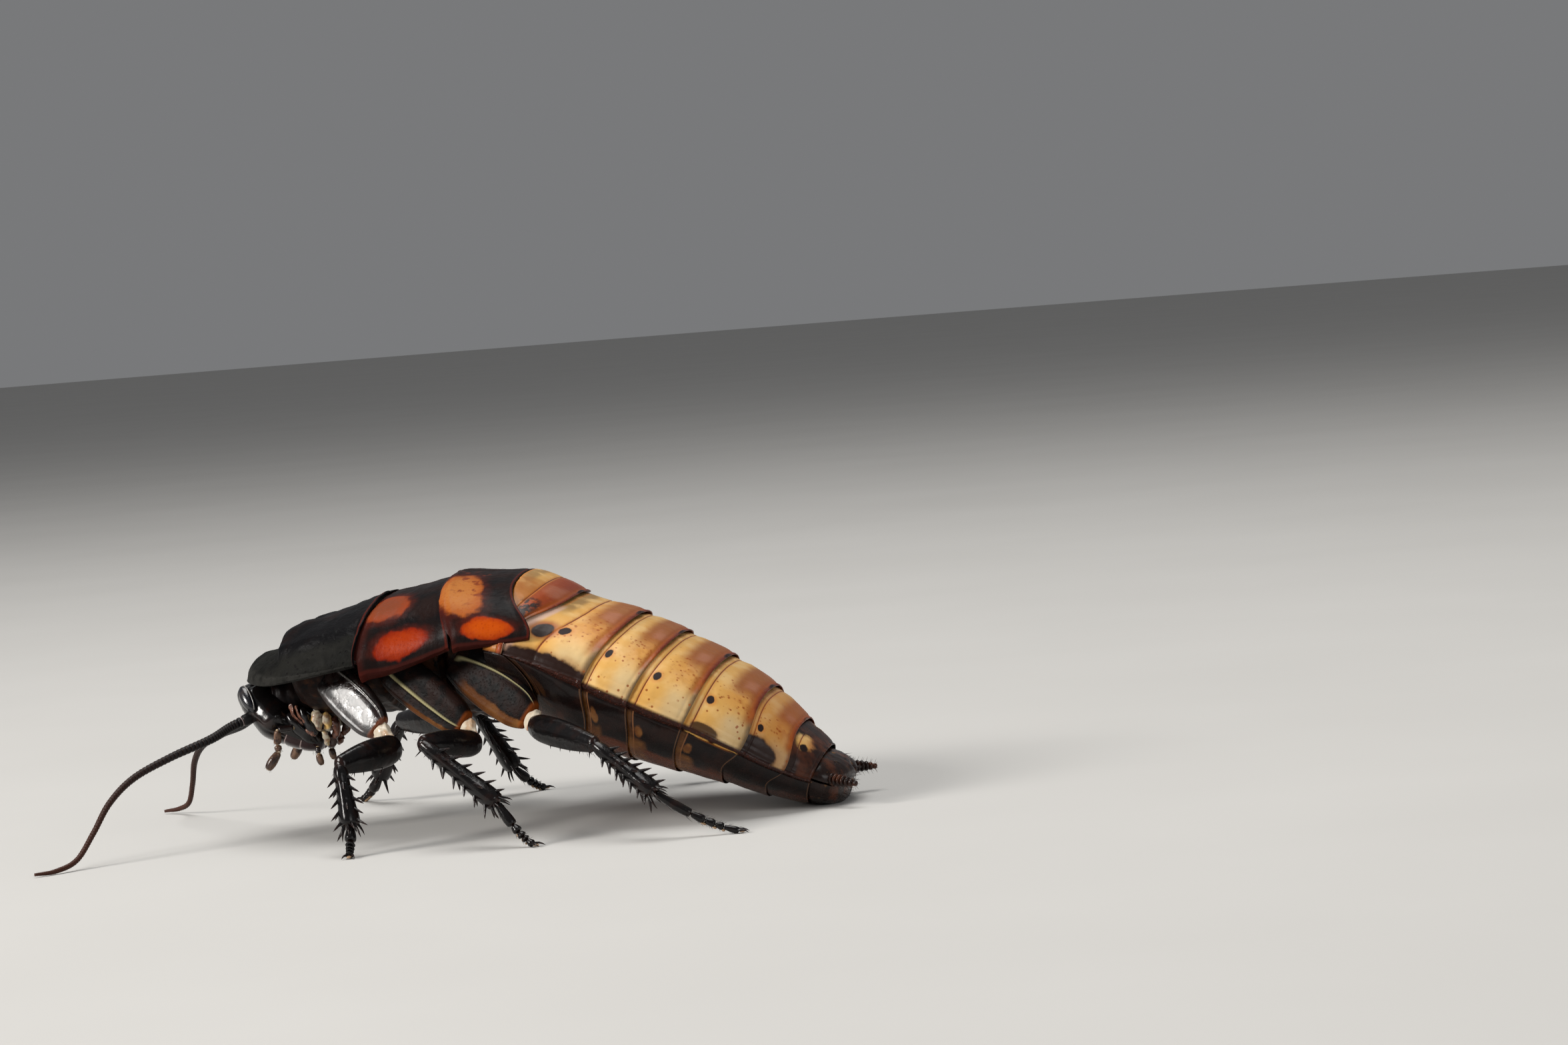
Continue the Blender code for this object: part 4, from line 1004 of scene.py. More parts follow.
def notum_piece(name, plate, look, slot, tucked=True):
    """A plate with a rolled rim. A tucked one runs on forward under the plate before it."""
    shape = Shape()
    across = np.sin(np.radians(np.linspace(-90, 90, count(300))))[None, :]
    way = np.linspace(0.0, 1.0, count(150))[:, None]
    tuck = TUCK * (1 - ease((np.abs(across) - 0.93) / 0.065)) if tucked else 0 * across
    share, v = np.broadcast_arrays(across, way - tuck * (1 - way))
    side = np.abs(share)
    drop = (0.16 + 0.55 * ease(-v / TUCK)) * (1 - ease(v / 0.10)) if tucked else 0.0
    top = plate.points(share, v, drop - plate.relief(plate.points(share, v, 0 * v), share, v))
    edge = np.maximum(side**6, np.maximum(1 - ease(v * 4), ease((v - 0.8) / 0.2)))
    depth = PLATE_THICKNESS + (RIM_THICKNESS - PLATE_THICKNESS) * edge + 0.14 * ease((side - 0.97) / 0.03)
    under = plate.points(share, v, depth + drop, 0.5)
    arc = np.arcsin(share) / (np.pi / 2)
    shape.grid(top, arc, v)
    shape.marks[-1][:, 2] = plate.kind(plate.place(share, v), share).ravel()
    upper, lower = border(top), border(under)
    middle = (upper + lower) / 2
    outwards = unit(middle - top.mean((0, 1)))
    outwards[:, 2] = 0
    upper_out = upper * 0.8 + lower * 0.2 + outwards * 0.045
    lower_out = upper * 0.2 + lower * 0.8 + outwards * 0.04
    band = np.stack((upper, upper_out, middle + outwards * 0.06, lower_out, lower))
    shape.grid(band, border(arc)[None, :], border(v)[None, :], 0.0, wrap=True)
    shape.grid(under, arc, v)
    shape.finish(name, look, slot)


def thorax_plates():
    notum_piece("pronotum", Shield(), shield_paint(), "dusty_shield", False)
    for name, plate, patches, streak in (
        ("mesonotum", MESONOTUM, MESONOTUM_PATCHES, None),
        ("metanotum", METANOTUM, METANOTUM_PATCHES, RED_BROWN),
    ):
        notum_piece(name, plate, notum_paint(name, patches, streak), "patched_plate")


# Trunk below the plates

TRUNK = {"prothorax": (-20.6, -11.2), "mesothorax": (-10.9, -4.7), "metathorax": (-4.4, 1.6)}
TRUNK_WIDTH = 7.6


def trunk():
    """Leathery lengths of the thorax, with folds between the leg bases."""
    look = trunk_paint()
    for name, (front, rear) in TRUNK.items():
        shape = Shape()
        t = np.concatenate(((0.0,), np.linspace(0.02, 0.98, count(60)), (1.0,)))[:, None]
        place, turn = np.broadcast_arrays(front + (rear - front) * t, full_turn(150)[None, :])
        point, up = side_line(place)
        y = np.sin(turn) * np.minimum(half_width(place) - 0.6, TRUNK_WIDTH)
        z = np.cos(turn) * np.where(np.cos(turn) > 0, back_rise(place) - 1.9, belly_depth(place))
        across = sideways(y) + up * z[..., None]
        narrow = 1 - 0.10 * (1 - ease(np.minimum(t, 1 - t) / 0.08))
        folds = 1 + wrinkles(point + across, (1.6, 0.8, 0.8), (1.8, 2.0, 0.03), (0.6, 0.0, 0.012))
        off_keel = np.abs(np.degrees(turn) - 180)
        keel = 1 + 0.06 * hill(off_keel, 0, 10) - 0.03 * hill(off_keel, 28, 8)
        points = point + across * (narrow * folds * keel)[..., None]
        shape.grid(points, turn / TURN, t, 0.0, True, (True, True))
        shape.finish(name, look, "black_body")


# Abdomen

FLANK = 97.0  # where a back plate ends, past the side line at 90
BELLY_EDGE = 91.0


def segment_rear(index, angle):
    side = np.abs(np.sin(np.radians(angle))) ** 3
    corner = side * ease(1 + 2 * np.minimum(0.0, np.cos(np.radians(angle))))
    return np.maximum(SEGMENT_ENDS[index] + SEGMENT_CORNER[index] * corner, ABDOMEN_START + SHORTEST)


def under_metanotum(points, place):
    """Lowers what would show through the metanotum's drawn-out corners."""
    share = points[..., 1] / METANOTUM.part_way(place, *METANOTUM.width)
    inside = (np.abs(share) < 1.0) & (place < METANOTUM.rear(share) + 0.1)
    point, up = side_line(place)
    height = ((points - point) * up).sum(-1)
    limit = METANOTUM.height(place, np.clip(share, -1, 1)) - 0.62
    return points + up * np.where(inside & (height > limit), limit - height, 0.0)[..., None]


def segment_rows(index, rows, angle):
    """The rows of a plate of the abdomen, from its tucked front over its top and round its rear lip: the way
    along it from 0 to 1, the angle, how far out each row lies and its place on the body."""
    way = np.linspace(0.0, 1.0, rows)
    v = np.concatenate(((0.0, 0.0), way, (1.0, 1.0, 1.0, 1.0)))[:, None]
    shift = np.concatenate(((-1.0, -0.35), 0 * way, (0.02, 0.015, -0.08, -0.9)))[:, None]
    lift = np.concatenate(((-0.30, -0.14), 0 * way, (-0.025, -0.06, -0.11, -0.28)))[:, None]
    v, angle, shift, lift = np.broadcast_arrays(v, angle[None, :], shift, lift)
    front = segment_rear(index - 1, angle) if index else ABDOMEN_START + 0 * angle
    return v, angle, lift, front + (segment_rear(index, angle) - front) * v + shift


def tergite(index):
    """The back plate of one segment."""
    shape = Shape()
    v, angle, lift, place = segment_rows(index, count(72), np.linspace(-FLANK, FLANK, count(330)))
    flank = np.abs(angle)
    suture = TERGITES[index][1]
    rim = SIDE_RIM * np.maximum(0.0, 1 - np.abs(flank - 90) / 9) - 0.5 * ease((flank - 91) / 6)
    form = STEP * (0.66 - 0.30 * ease((flank - 12) / 40)) * v
    form = form + 0.10 * ease((v - suture) / 0.2) * (1 - 0.6 * ease((v - 0.7) / 0.3))
    form = form - 0.05 * hill(v, suture, 0.015) + 0.03 * hill(v, 0.975, 0.02) - 0.05 * hill(v, 0.90, 0.04)
    form = form + 0.12 * hill(flank, 91, 1.6) - 0.08 * hill(flank, 87.5, 1.8)
    form = form + 0.14 * hill(angle, 0, 2.6) * hill(v, 0.965, 0.035)
    base = on_body(place, angle)
    crumple = wrinkles(base, (1.0, 0.55, 0.7), (1.3, index * 5.0, 0.025), (0.45, 2.0, 0.010))
    dents = -0.03 * ease((rough(base, 2.6, index + 8.0) - 0.1) / 0.3)
    teeth = 0.05 * rough(base, 0.5, 4.0) * hill(v, 1.0, 0.05)
    points = on_body(place, angle, form + rim + lift + (crumple + dents + teeth) * ease(lift / 0.1 + 1))
    if index < 3:
        points = under_metanotum(points, place)
    shape.grid(points, angle / 100, v, index)
    return shape


def sternite(index):
    """The belly plate of one segment."""
    shape = Shape()
    far_edge = 360 - BELLY_EDGE
    v, angle, lift, place = segment_rows(index, count(34), np.linspace(BELLY_EDGE, far_edge, count(170)))
    crumple = wrinkles(
        on_body(place, angle), (1.0, 0.6, 0.6), (1.6, index * 3.0 + 40, 0.05), (0.5, 6.0, 0.012)
    )
    edge = ease(np.minimum(angle - BELLY_EDGE, far_edge - angle) / 6)
    points = on_body(place, angle, -0.12 - 0.25 * (1 - edge) + 0.22 * v + lift * 0.6 + crumple)
    points[..., 2] = np.maximum(points[..., 2], 0.0)
    shape.grid(points, (np.minimum(angle, 360 - angle) - 90) / 100, v, index)
    return shape


def abdomen():
    belly_look = sternite_paint()
    for index in range(len(SEGMENT_ENDS)):
        name = f"abdomen_{index + 1}"
        slot = "cream_abdomen" if index < 6 else "dark_tail"
        tergite(index).finish(f"{name}_back", tergite_paint(index), slot, name)
        sternite(index).finish(f"{name}_belly", belly_look, "black_body", name)


TAIL_FRONT = SEGMENT_ENDS[-1] - 0.6
TAIL_LENGTH = BODY[-1][0] - TAIL_FRONT


def tail_plate(name, turn, depth, look):
    """The plate over the tail where turn is 1 and the one under it where it is -1, with fine hairs."""
    shape = Shape()
    height = float(depth(TAIL_FRONT + 0.8)) - 0.15
    t = np.concatenate((np.linspace(0, 0.9, count(40)), np.linspace(0.91, 0.999, count(14))))[:, None]
    t, a = np.broadcast_arrays(t, np.linspace(-np.pi / 2, np.pi / 2, count(110))[None, :])
    shrink = np.sqrt(1 - t**3.2)
    point, up = side_line(TAIL_FRONT + TAIL_LENGTH * t)
    rise = 0.12 + np.cos(a) ** 0.9 * height * (0.4 + 0.6 * shrink)
    y = np.sin(a) * float(half_width(TAIL_FRONT + 0.8)) * shrink
    base = point + sideways(y) + up * (turn * rise)[..., None]
    notch = 0.35 * hill(a, 0.0, 0.18) * ease((t - 0.7) / 0.3)
    crumple = wrinkles(base, (1.0, 1.0, 1.0), (1.0, 3.0, 0.06), (0.4, 1.0, 0.02))
    points = base + up * (turn * (crumple - notch * 0.4))[..., None]
    points[..., 0] -= notch
    points[..., 2] = np.maximum(points[..., 2], 0.0)
    shape.grid(points, a, t)
    rows, columns = points.shape[:2]
    for _ in range(count(70)):
        root = points[draws.randrange(int(rows * 0.4), rows), draws.randrange(columns)]
        if root[2] > 0.5:
            tip = root + np.array((draws.uniform(0.3, 0.7), draws.uniform(-0.1, 0.1), turn * 0.05))
            hair(shape, root, tip, 0.025)
    shape.finish(name, look, "dark_tail")


CERCUS_ROOT = (32.4, 4.6, 2.9)
CERCUS_TIP = (36.0, 6.9, 2.4)
CERCUS_JOINTS = 9


def cercus(side, look):
    """A short tail feeler of ringed joints with fine hairs."""
    shape = Shape()
    start, end = on_side(side, *CERCUS_ROOT), on_side(side, *CERCUS_TIP)
    for i in range(CERCUS_JOINTS):
        a, b = between(start, end, i / CERCUS_JOINTS, (i + 1.08) / CERCUS_JOINTS)
        radius = 0.60 * math.sin(math.pi * (0.28 + 0.66 * (i + 0.5) / CERCUS_JOINTS)) ** 0.8 + 0.05
        radii = (radius * 0.86, radius, radius * 0.9)
        limb(shape, [a, (a + b) / 2, b], radii, (0, 0, 1), 12, 18, round_end=0.35)
        for k in range(7):
            turn = TURN * (k + 0.5 * (i % 2)) / 7
            away = np.array((-0.3 * side * math.sin(turn), math.sin(turn) * 0.85, math.cos(turn)))
            root = (a + b) / 2 + away * radius * 0.8
            hair(shape, root, root + away * 0.55 + np.array((0.25, side * 0.1, 0)), 0.022, 0.0, 0.03)
    shape.finish(f"cercus_{side_word(side)}", look, "dark_tail")


def tail():
    look = tail_paint()
    tail_plate("supra_anal_plate", 1, back_rise, look)
    tail_plate("subgenital_plate", -1, belly_depth, look)
    for side in (-1, 1):
        cercus(side, look)


# Legs. Each joint is X, Y, Z, with Y taken outwards.

COXAE = {  # the hip and the end of the coxa, the same on both sides
    "front": ((-16.0, 7.6, 16.2), (-10.4, 11.5, 11.0)),
    "mid": ((-9.4, 8.0, 16.6), (-1.5, 12.0, 11.0)),
    "hind": ((-2.4, 8.2, 17.2), (5.2, 12.4, 11.4)),
}
JOINTS = ("hip", "coxa_end", "femur_root", "knee", "ankle", "toe")
LEGS = {  # the other joints
    ("front", -1): ((-9.0, 12.6, 9.2), (-12.6, 19.5, 8.6), (-11.4, 21.5, 2.7), (-11.2, 23.6, 0.05)),
    ("mid", -1): ((-0.7, 13.0, 9.3), (-4.0, 20.0, 10.3), (3.4, 21.5, 4.2), (6.8, 22.6, 0.05)),
    ("hind", -1): ((5.9, 13.4, 10.6), (13.0, 20.0, 9.2), (19.0, 22.0, 4.4), (26.6, 21.0, 0.05)),
    ("front", 1): ((-9.4, 12.4, 9.2), (-16.2, 18.2, 8.8), (-19.6, 20.0, 2.6), (-22.2, 22.6, 0.05)),
    ("mid", 1): ((-0.9, 12.9, 9.4), (-8.6, 18.4, 10.4), (-4.8, 20.6, 2.7), (-2.4, 23.4, 0.05)),
    ("hind", 1): ((5.8, 13.3, 10.6), (10.6, 19.8, 10.2), (14.6, 21.4, 3.0), (20.4, 23.8, 0.05)),
}
COXA_WIDTH = {"front": 1.95, "mid": 1.95, "hind": 2.3}
COXA_THICKNESS = 1.15
# Where the keel runs round the coxa at its root and its end, in radians from its upper edge
COXA_KEEL = {"front": (1.20, 0.62), "mid": (1.66, 1.76), "hind": (1.62, 0.50)}
FEMUR_DEPTH = {"front": 1.6, "mid": 1.4, "hind": 1.45}
SHIN = {"front": 0.90, "mid": 0.88, "hind": 0.84}
FOOT = {"front": 0.70, "mid": 0.66, "hind": 0.60}
FOOT_BREAKS = (0.0, 0.40, 0.56, 0.69, 0.80, 1.0)
SPINES = {"front": 5, "mid": 6, "hind": 7}  # along each row
SPINE_ROWS = (-75, -20, 60, 115, 175)  # degrees round the shin
UP = np.array((0.0, 0.0, 1.0))


def hairs(shape, start, end, radius, number, length):
    """Fine hairs scattered over a limb, leaning towards its end."""
    direction = unit(end - start)
    away_at = spokes(direction, (0.1, 0.2, 1.0))
    for _ in range(count(number)):
        t, turn = draws.uniform(0.1, 0.95), draws.uniform(0, TURN)
        away = away_at(turn)
        root = start + (end - start) * t + away * radius * 0.85
        hair(shape, root, root + (away + direction * 1.1) * length * draws.uniform(0.6, 1.2), 0.022, 2.0)


def coxa(shape, name, side, joint):
    hip, end = joint["hip"], joint["coxa_end"]
    width = COXA_WIDTH[name]
    flat = np.cross(unit(end - hip), (0.0, 1.0, 0.0))
    wide = np.array((0.95, 1.08, 1.14, 1.06, 0.86, 0.58))
    thick = np.array((0.7, 0.8, 0.82, 0.80, 0.74, 0.62))
    first, last = COXA_KEEL[name]

    def form(turn, t):
        """A sharp keel down the outer face, with a shallow hollow on each side of it."""
        at = first + (last - first) * t
        keel = 0.16 * hill(turn, at, 0.050) - 0.07 * hill(turn, at, 0.30)
        welt = 0.08 * hill(turn, 2.3, 0.16)
        return (keel + welt) * ease(t / 0.10) * (1 - ease((t - 0.88) / 0.12))

    def creases(turn, t):
        return 0.06 * np.cos(turn * 3 + t * 9) + 0.03 * np.cos(turn * 7 - t * 14)

    path = between(hip, end, -0.06, 0.1, 0.35, 0.65, 0.88, 1.0)
    sizes = np.stack((width * wide, COXA_THICKNESS * thick), -1)
    limb(shape, path, sizes, flat, 70, 150, 0.0, form, 0.5, square=3.0, flip=side > 0)
    knuckle = between(end, joint["femur_root"], -0.25, 0.1, 0.5, 0.9, 1.25)
    swell = np.outer((0.40, 0.50, 0.46, 0.42, 0.36), (width, width * 0.62))
    limb(shape, knuckle, swell, flat, 30, 40, 1.0, creases)


def femur(shape, name, side, joint):
    root, knee = joint["femur_root"], joint["knee"]
    direction = unit(knee - root)
    depth = FEMUR_DEPTH[name]
    start, stop = root - direction * 0.9, knee + direction * 0.3
    sizes = np.outer((0.60, 0.86, 1.0, 0.95, 0.70, 0.56), (depth, 0.74 * depth))

    def form(turn, t):
        """A groove along the underside, where the shin folds in, between two keels."""
        under, keels = hill(np.cos(turn), -1.0, 0.12), hill(np.cos(turn), -0.8, 0.1)
        return (-0.22 * under + 0.06 * keels) * ease((t - 0.3) / 0.3)

    limb(shape, between(start, stop, 0.0, 0.1, 0.3, 0.6, 0.88, 1.0), sizes, UP, 60, 44, 0.0, form)
    across, square = across_limb(direction, UP)
    for hand in (-1, 1):
        away = unit(-across + square * hand * 0.55)
        for i in range(5):
            t = 0.35 + 0.58 * i / 4
            base = start + (stop - start) * t + away * depth * 0.66 * (1.12 - 0.5 * t)
            spine(shape, base, base + (away + direction * 0.7) * draws.uniform(0.6, 0.95), 0.09, 2.0)
    cap = [(0.62, 0.60), (0.70, 0.66), (0.55, 0.55)]
    limb(shape, [knee - direction * 0.55, knee - direction * 0.10, knee + direction * 0.35], cap, UP, 14, 26)
    hairs(shape, start, stop, depth * 0.8, 60, 0.32)


def tibia(shape, name, side, joint):
    """The shin, with rows of strong spines, each on a small collar, and a crown of spurs at its end."""
    knee, ankle = joint["knee"], joint["ankle"]
    direction = unit(ankle - knee)
    radius = SHIN[name]
    flat = (0.0, side, 0.15)
    sizes = np.outer((0.58, 0.84, 0.86, 1.02, 1.20, 1.08), (radius, radius * 0.9))

    def form(turn, t):
        return 0.05 * np.cos(4 * turn) * ease(t / 0.2)

    limb(shape, between(knee, ankle, -0.02, 0.08, 0.3, 0.6, 0.92, 1.0), sizes, flat, 54, 36, 0.0, form, 0.5)
    away_at = spokes(direction, flat)
    length = float(np.linalg.norm(ankle - knee))
    for row, turn in enumerate(SPINE_ROWS):
        number = SPINES[name] - (row % 2) * 2
        for i in range(number):
            t = min(0.20 + 0.74 * (i + 0.4 * (row % 2)) / (number - 0.6), 0.96)
            away = away_at(math.radians(turn + draws.uniform(-8, 8)))
            base = knee + direction * length * t + away * radius * 0.75
            reach = draws.uniform(0.95, 1.3) * (0.75 + 0.5 * t)
            tip = base + (away * 0.9 + direction * 0.75) * reach
            tip[2] = max(tip[2], 0.05)
            spine(shape, base, tip, 0.19, 2.0, direction * 0.05 + away * 0.06)
            spine(shape, base - away * 0.1, base + unit(tip - base) * 0.16, 0.29)
    for i in range(7):
        away = away_at(TURN * i / 7)
        base = ankle - direction * 0.25 + away * radius * 0.8
        tip = base + direction * draws.uniform(0.9, 1.4) + away * 0.45
        tip[2] = max(tip[2], 0.05)
        spine(shape, base, tip, 0.13, 2.0, away * 0.08)
    hairs(shape, knee, ankle, radius, 50, 0.3)


def tarsus(shape, name, side, joint):
    """The foot: five joints with soft pads below, a pad between the claws and two hooked claws."""
    ankle, toe = joint["ankle"], joint["toe"]
    start = ankle - unit(ankle - joint["knee"]) * 0.1
    bend = start * 0.45 + toe * 0.55
    bend[2] = 0.2 * start[2] + 0.15

    def at(u):
        return start * (1 - u) ** 2 + bend * 2 * u * (1 - u) + toe * u * u + UP * 0.22 * u

    for i, (a, b) in enumerate(zip(FOOT_BREAKS, FOOT_BREAKS[1:])):
        radius = FOOT[name] * (1 - 0.38 * (a + b) / 2)
        step = at(b) - at(a)
        path = [at(a + (b - a) * t) for t in (0.0, 0.3, 0.7, 1.0)]
        swell = np.outer((0.62, 0.80, 0.98, 0.9), (radius, radius * 0.9))
        limb(shape, path, swell, (0, side, 0.1), 20, 26, round_end=0.5)
        if 0 < i < 4:
            low = at(b) - UP * radius * 0.75
            low[2] = max(low[2], 0.14)
            pad = [(radius * 0.5, 0.10), (radius * 0.62, 0.13), (radius * 0.4, 0.10)]
            limb(shape, [low - step * 0.35, low, low + step * 0.1], pad, (0, 1, 0), 10, 16, 3.0)
        for _ in range(count(16)):
            t, turn = draws.uniform(0.15, 1.0), draws.uniform(0, TURN)
            away = np.array((math.cos(turn) * 0.5, math.sin(turn), math.cos(turn)))
            root = at(a + (b - a) * t) + away * radius * 0.7
            tip = root + away * 0.22 + step * 0.25
            root[2] = max(root[2], 0.03)
            hair(shape, root, tip, 0.02, 2.0)
    onward = unit((toe - bend) * np.array((1.0, 1.0, 0.0)))
    aside = np.array((-onward[1], onward[0], 0.0))
    for hand in (-1, 1):
        root = toe - onward * 0.15 + aside * hand * 0.12 + UP * 0.26
        tip = toe + onward * 0.95 + aside * hand * 0.62 + UP * 0.06
        spine(shape, root, tip, 0.15, 2.0, UP * 0.16 + aside * hand * 0.08, 8)
    pad = [toe + UP * 0.18, toe + onward * 0.3 + UP * 0.16, toe + onward * 0.55 + UP * 0.14]
    limb(shape, pad, [(0.16, 0.10), (0.24, 0.12), (0.18, 0.08)], aside, 10, 16, 3.0)


def legs():
    look = leg_paint()
    coxa_looks = {name: coxa_paint(name) for name in COXA_WIDTH}
    for (name, side), places in LEGS.items():
        joint = {key: on_side(side, *place) for key, place in zip(JOINTS, COXAE[name] + places)}
        for part in (coxa, femur, tibia, tarsus):
            shape = Shape()
            part(shape, name, side, joint)
            of_coxa = part is coxa
            node = f"{name}_leg_{side_word(side)}_{part.__name__}"
            shape.finish(node, coxa_looks[name] if of_coxa else look, "coxa" if of_coxa else "leg")


# Head

# From the crown to the mouth: X, Z and the half sizes across the head and from face to back
HEAD = np.array((
    (-27.05, 15.4, 0.75, 1.4),
    (-26.8, 14.75, 1.35, 2.35),
    (-26.2, 14.05, 1.75, 3.05),
    (-25.2, 13.0, 1.95, 3.7),
    (-23.9, 11.75, 2.05, 3.7),
    (-22.5, 10.7, 1.9, 3.2),
    (-21.2, 9.9, 1.65, 2.6),
    (-19.9, 9.35, 1.3, 2.0),
    (-19.1, 9.05, 0.85, 1.4),
))
HEAD_FLAT = (0.71, 0.0, 0.70)  # towards the back of the head
SEAM = 0.66  # the seam over the upper lip, as a share of the way to the mouth
LIP_SEAM = 0.80
FEELER_SOCKET = (-25.75, 2.15, 12.35)
SOCKET_OUTWARD = (-0.75, 0.6, -0.35)
NECK = ((-24.2, 0.0, 13.6), (-20.2, 0.0, 14.4))


def skull_form(turn, t):
    """The skull's seams, brow, cheeks and the notch of its lip."""
    away = np.cos(turn)
    face = hill(away, -1.0, 0.35)
    seam = -0.12 * hill(t, SEAM, 0.012) * face - 0.10 * hill(t, LIP_SEAM, 0.012) * face
    brow = 0.14 * hill(t, 0.48, 0.12) * face
    cheek = -0.10 * hill(away, -0.35, 0.08) * hill(t, 0.6, 0.2)
    swell = (0.36 * hill(t, 0.47, 0.07) - 0.26 * hill(t, 0.27, 0.07)) * hill(away, 0.0, 0.75)
    return seam + brow + cheek + swell - 0.2 * hill(away, -1.0, 0.04) * hill(t, 1.0, 0.06)


def head():
    """The skull, with a seam above the upper lip, a socket for each feeler and hairs on its face."""
    shape = Shape()
    path = np.stack((HEAD[:, 0], np.zeros(len(HEAD)), HEAD[:, 1]), -1)
    sizes = HEAD[:, 2:4]
    limb(shape, path, sizes, HEAD_FLAT, 110, 110, 0.0, skull_form, 0.25, square=2.4)
    marks = shape.marks[-1]
    t, face = marks[:, 1], np.cos(marks[:, 0] * TURN) < -0.1
    seam = face & ((np.abs(t - SEAM) < 0.010) | (np.abs(t - LIP_SEAM) < 0.008))
    marks[:, 2] = np.where(seam, 2.0, np.where((t > SEAM) & face, 1.0, 0.0))
    for side in (-1, 1):
        socket = on_side(side, *FEELER_SOCKET)
        away = unit(on_side(side, *SOCKET_OUTWARD))
        limb(shape, [socket - away * 0.3, socket, socket + away * 0.3], (0.85, 0.80, 0.66), UP, 10, 28, 2.0)
    last = len(path) - 1
    for _ in range(count(60)):
        way, turn = draws.uniform(0.5, 0.98) * last, draws.uniform(math.pi * 0.55, math.pi * 1.45)
        k = int(way)
        below = path[min(k + 1, last)]
        centre = path[k] + (below - path[k]) * (way - k)
        wide, deep = sizes[k] * 0.97
        direction = unit(below - path[max(k - 1, 0)])
        across, square = across_limb(direction, HEAD_FLAT)
        away = across * math.cos(turn) * wide + square * math.sin(turn) * deep
        root = centre + away
        hair(shape, root, root + unit(away) * 0.22 + direction * 0.2, 0.02)
    shape.finish("head", head_paint(), "black_body")


def neck():
    def rings(turn, t):
        return 0.07 * np.cos(t * 22) + 0 * turn

    shape = Shape()
    path = between(*np.array(NECK), 0, 0.3, 0.7, 1)
    limb(shape, path, [(1.9, 1.75)] * 4, UP, 60, 60, 1.0, rings, 0.2)
    shape.finish("neck", trunk_paint(), "black_body")


EYE_PLACE = (-26.35, 2.7, 14.1)
EYE_SIZE = (1.7, 0.75, 0.75)  # down the head, outwards and across
EYE_DOWN = (0.472, 0.533, -0.702)
EYE_BACK = (0.806, 0.056, 0.589)
EYE_OUTWARD = (-0.39, 0.80, 0.456)


def eye(side, look):
    """An oval eye, bowed round the root of the feeler, with a pale rim behind it."""
    shape = Shape()
    centre, down, back, outward = (
        on_side(side, *numbers) for numbers in (EYE_PLACE, EYE_DOWN, EYE_BACK, EYE_OUTWARD)
    )

    def surface(lat, turn, grow=1.0):
        size = np.sqrt(1 - lat**2) * grow
        along = (lat * EYE_SIZE[0] + 0 * turn)[..., None] * down
        rise = (np.cos(turn) * EYE_SIZE[2] * size)[..., None] * back
        return centre + along + rise + (np.sin(turn) * EYE_SIZE[1] * size)[..., None] * outward

    lat = np.linspace(-0.999, 0.999, count(60))[:, None]
    turn = full_turn(60)[None, :]
    shape.grid(surface(lat, turn), turn / TURN, (lat + 1) / 2, 0.0, True, (True, True))
    rim = surface(np.linspace(-0.92, 0.97, 11), np.full(11, 0.55), 1.03)
    limb(shape, rim, [0.06] * 11, (0, 1, 0), 40, 10, 1.0)
    shape.finish(f"eye_{side_word(side)}", look, "eye")


# For each palp the point and radius at each of its ends and bends, and which of them each length joins
PALPS = {
    "maxillary_palp": (
        ((-21.6, 3.4, 11.0), (-23.1, 4.05, 10.9), (-23.25, 4.1, 9.4),
         (-23.1, 4.2, 8.7), (-23.9, 4.5, 7.6), (-24.35, 4.6, 6.95)),
        (0.34, 0.36, 0.40, 0.34, 0.50, 0.36),
        ((0, 1), (1, 2), (2, 3), (3, 5)),
    ),
    "labial_palp": (
        ((-19.6, 2.3, 8.8), (-19.5, 2.4, 8.1), (-19.4, 2.4, 7.4), (-19.2, 2.35, 6.9)),
        (0.24, 0.32, 0.36, 0.26),
        ((0, 1), (1, 3)),
    ),
}


def palp(name, side, look):
    """A mouth feeler of jointed lengths, each swelling towards its end, with a pale soft tip."""
    shape = Shape()
    places, radii, lengths = PALPS[name]
    path = [on_side(side, *place) for place in places]
    for a, b in lengths:
        points, sizes = path[a : b + 1], radii[a : b + 1]
        if b - a == 1:
            points = between(path[a], path[b], 0, 0.5, 1)
            sizes = (radii[a], (radii[a] + radii[b]) / 2, radii[b])
        limb(shape, points, np.maximum(sizes, 0.2), (0, 1, 0.2), 22, 24, 4.0 if a else 5.0, None, 0.8)
        limb(shape, between(points[0], points[1], -0.15, 0.0, 0.15), [0.2] * 3, (0, 1, 0.2), 8, 14, 1.0)
        direction = unit(points[-1] - points[0])
        away_at = spokes(direction, (0.1, 1.0, 0.2))
        for _ in range(count(30)):
            t, turn = draws.uniform(0.1, 1.0), draws.uniform(0, TURN)
            away = away_at(turn)
            root = points[0] + (points[-1] - points[0]) * t + away * sizes[-1] * 0.8
            hair(shape, root, root + away * 0.16 + direction * 0.16, 0.016, 2.0)
    shape.finish(f"{name}_{side_word(side)}", look, "mouthparts")


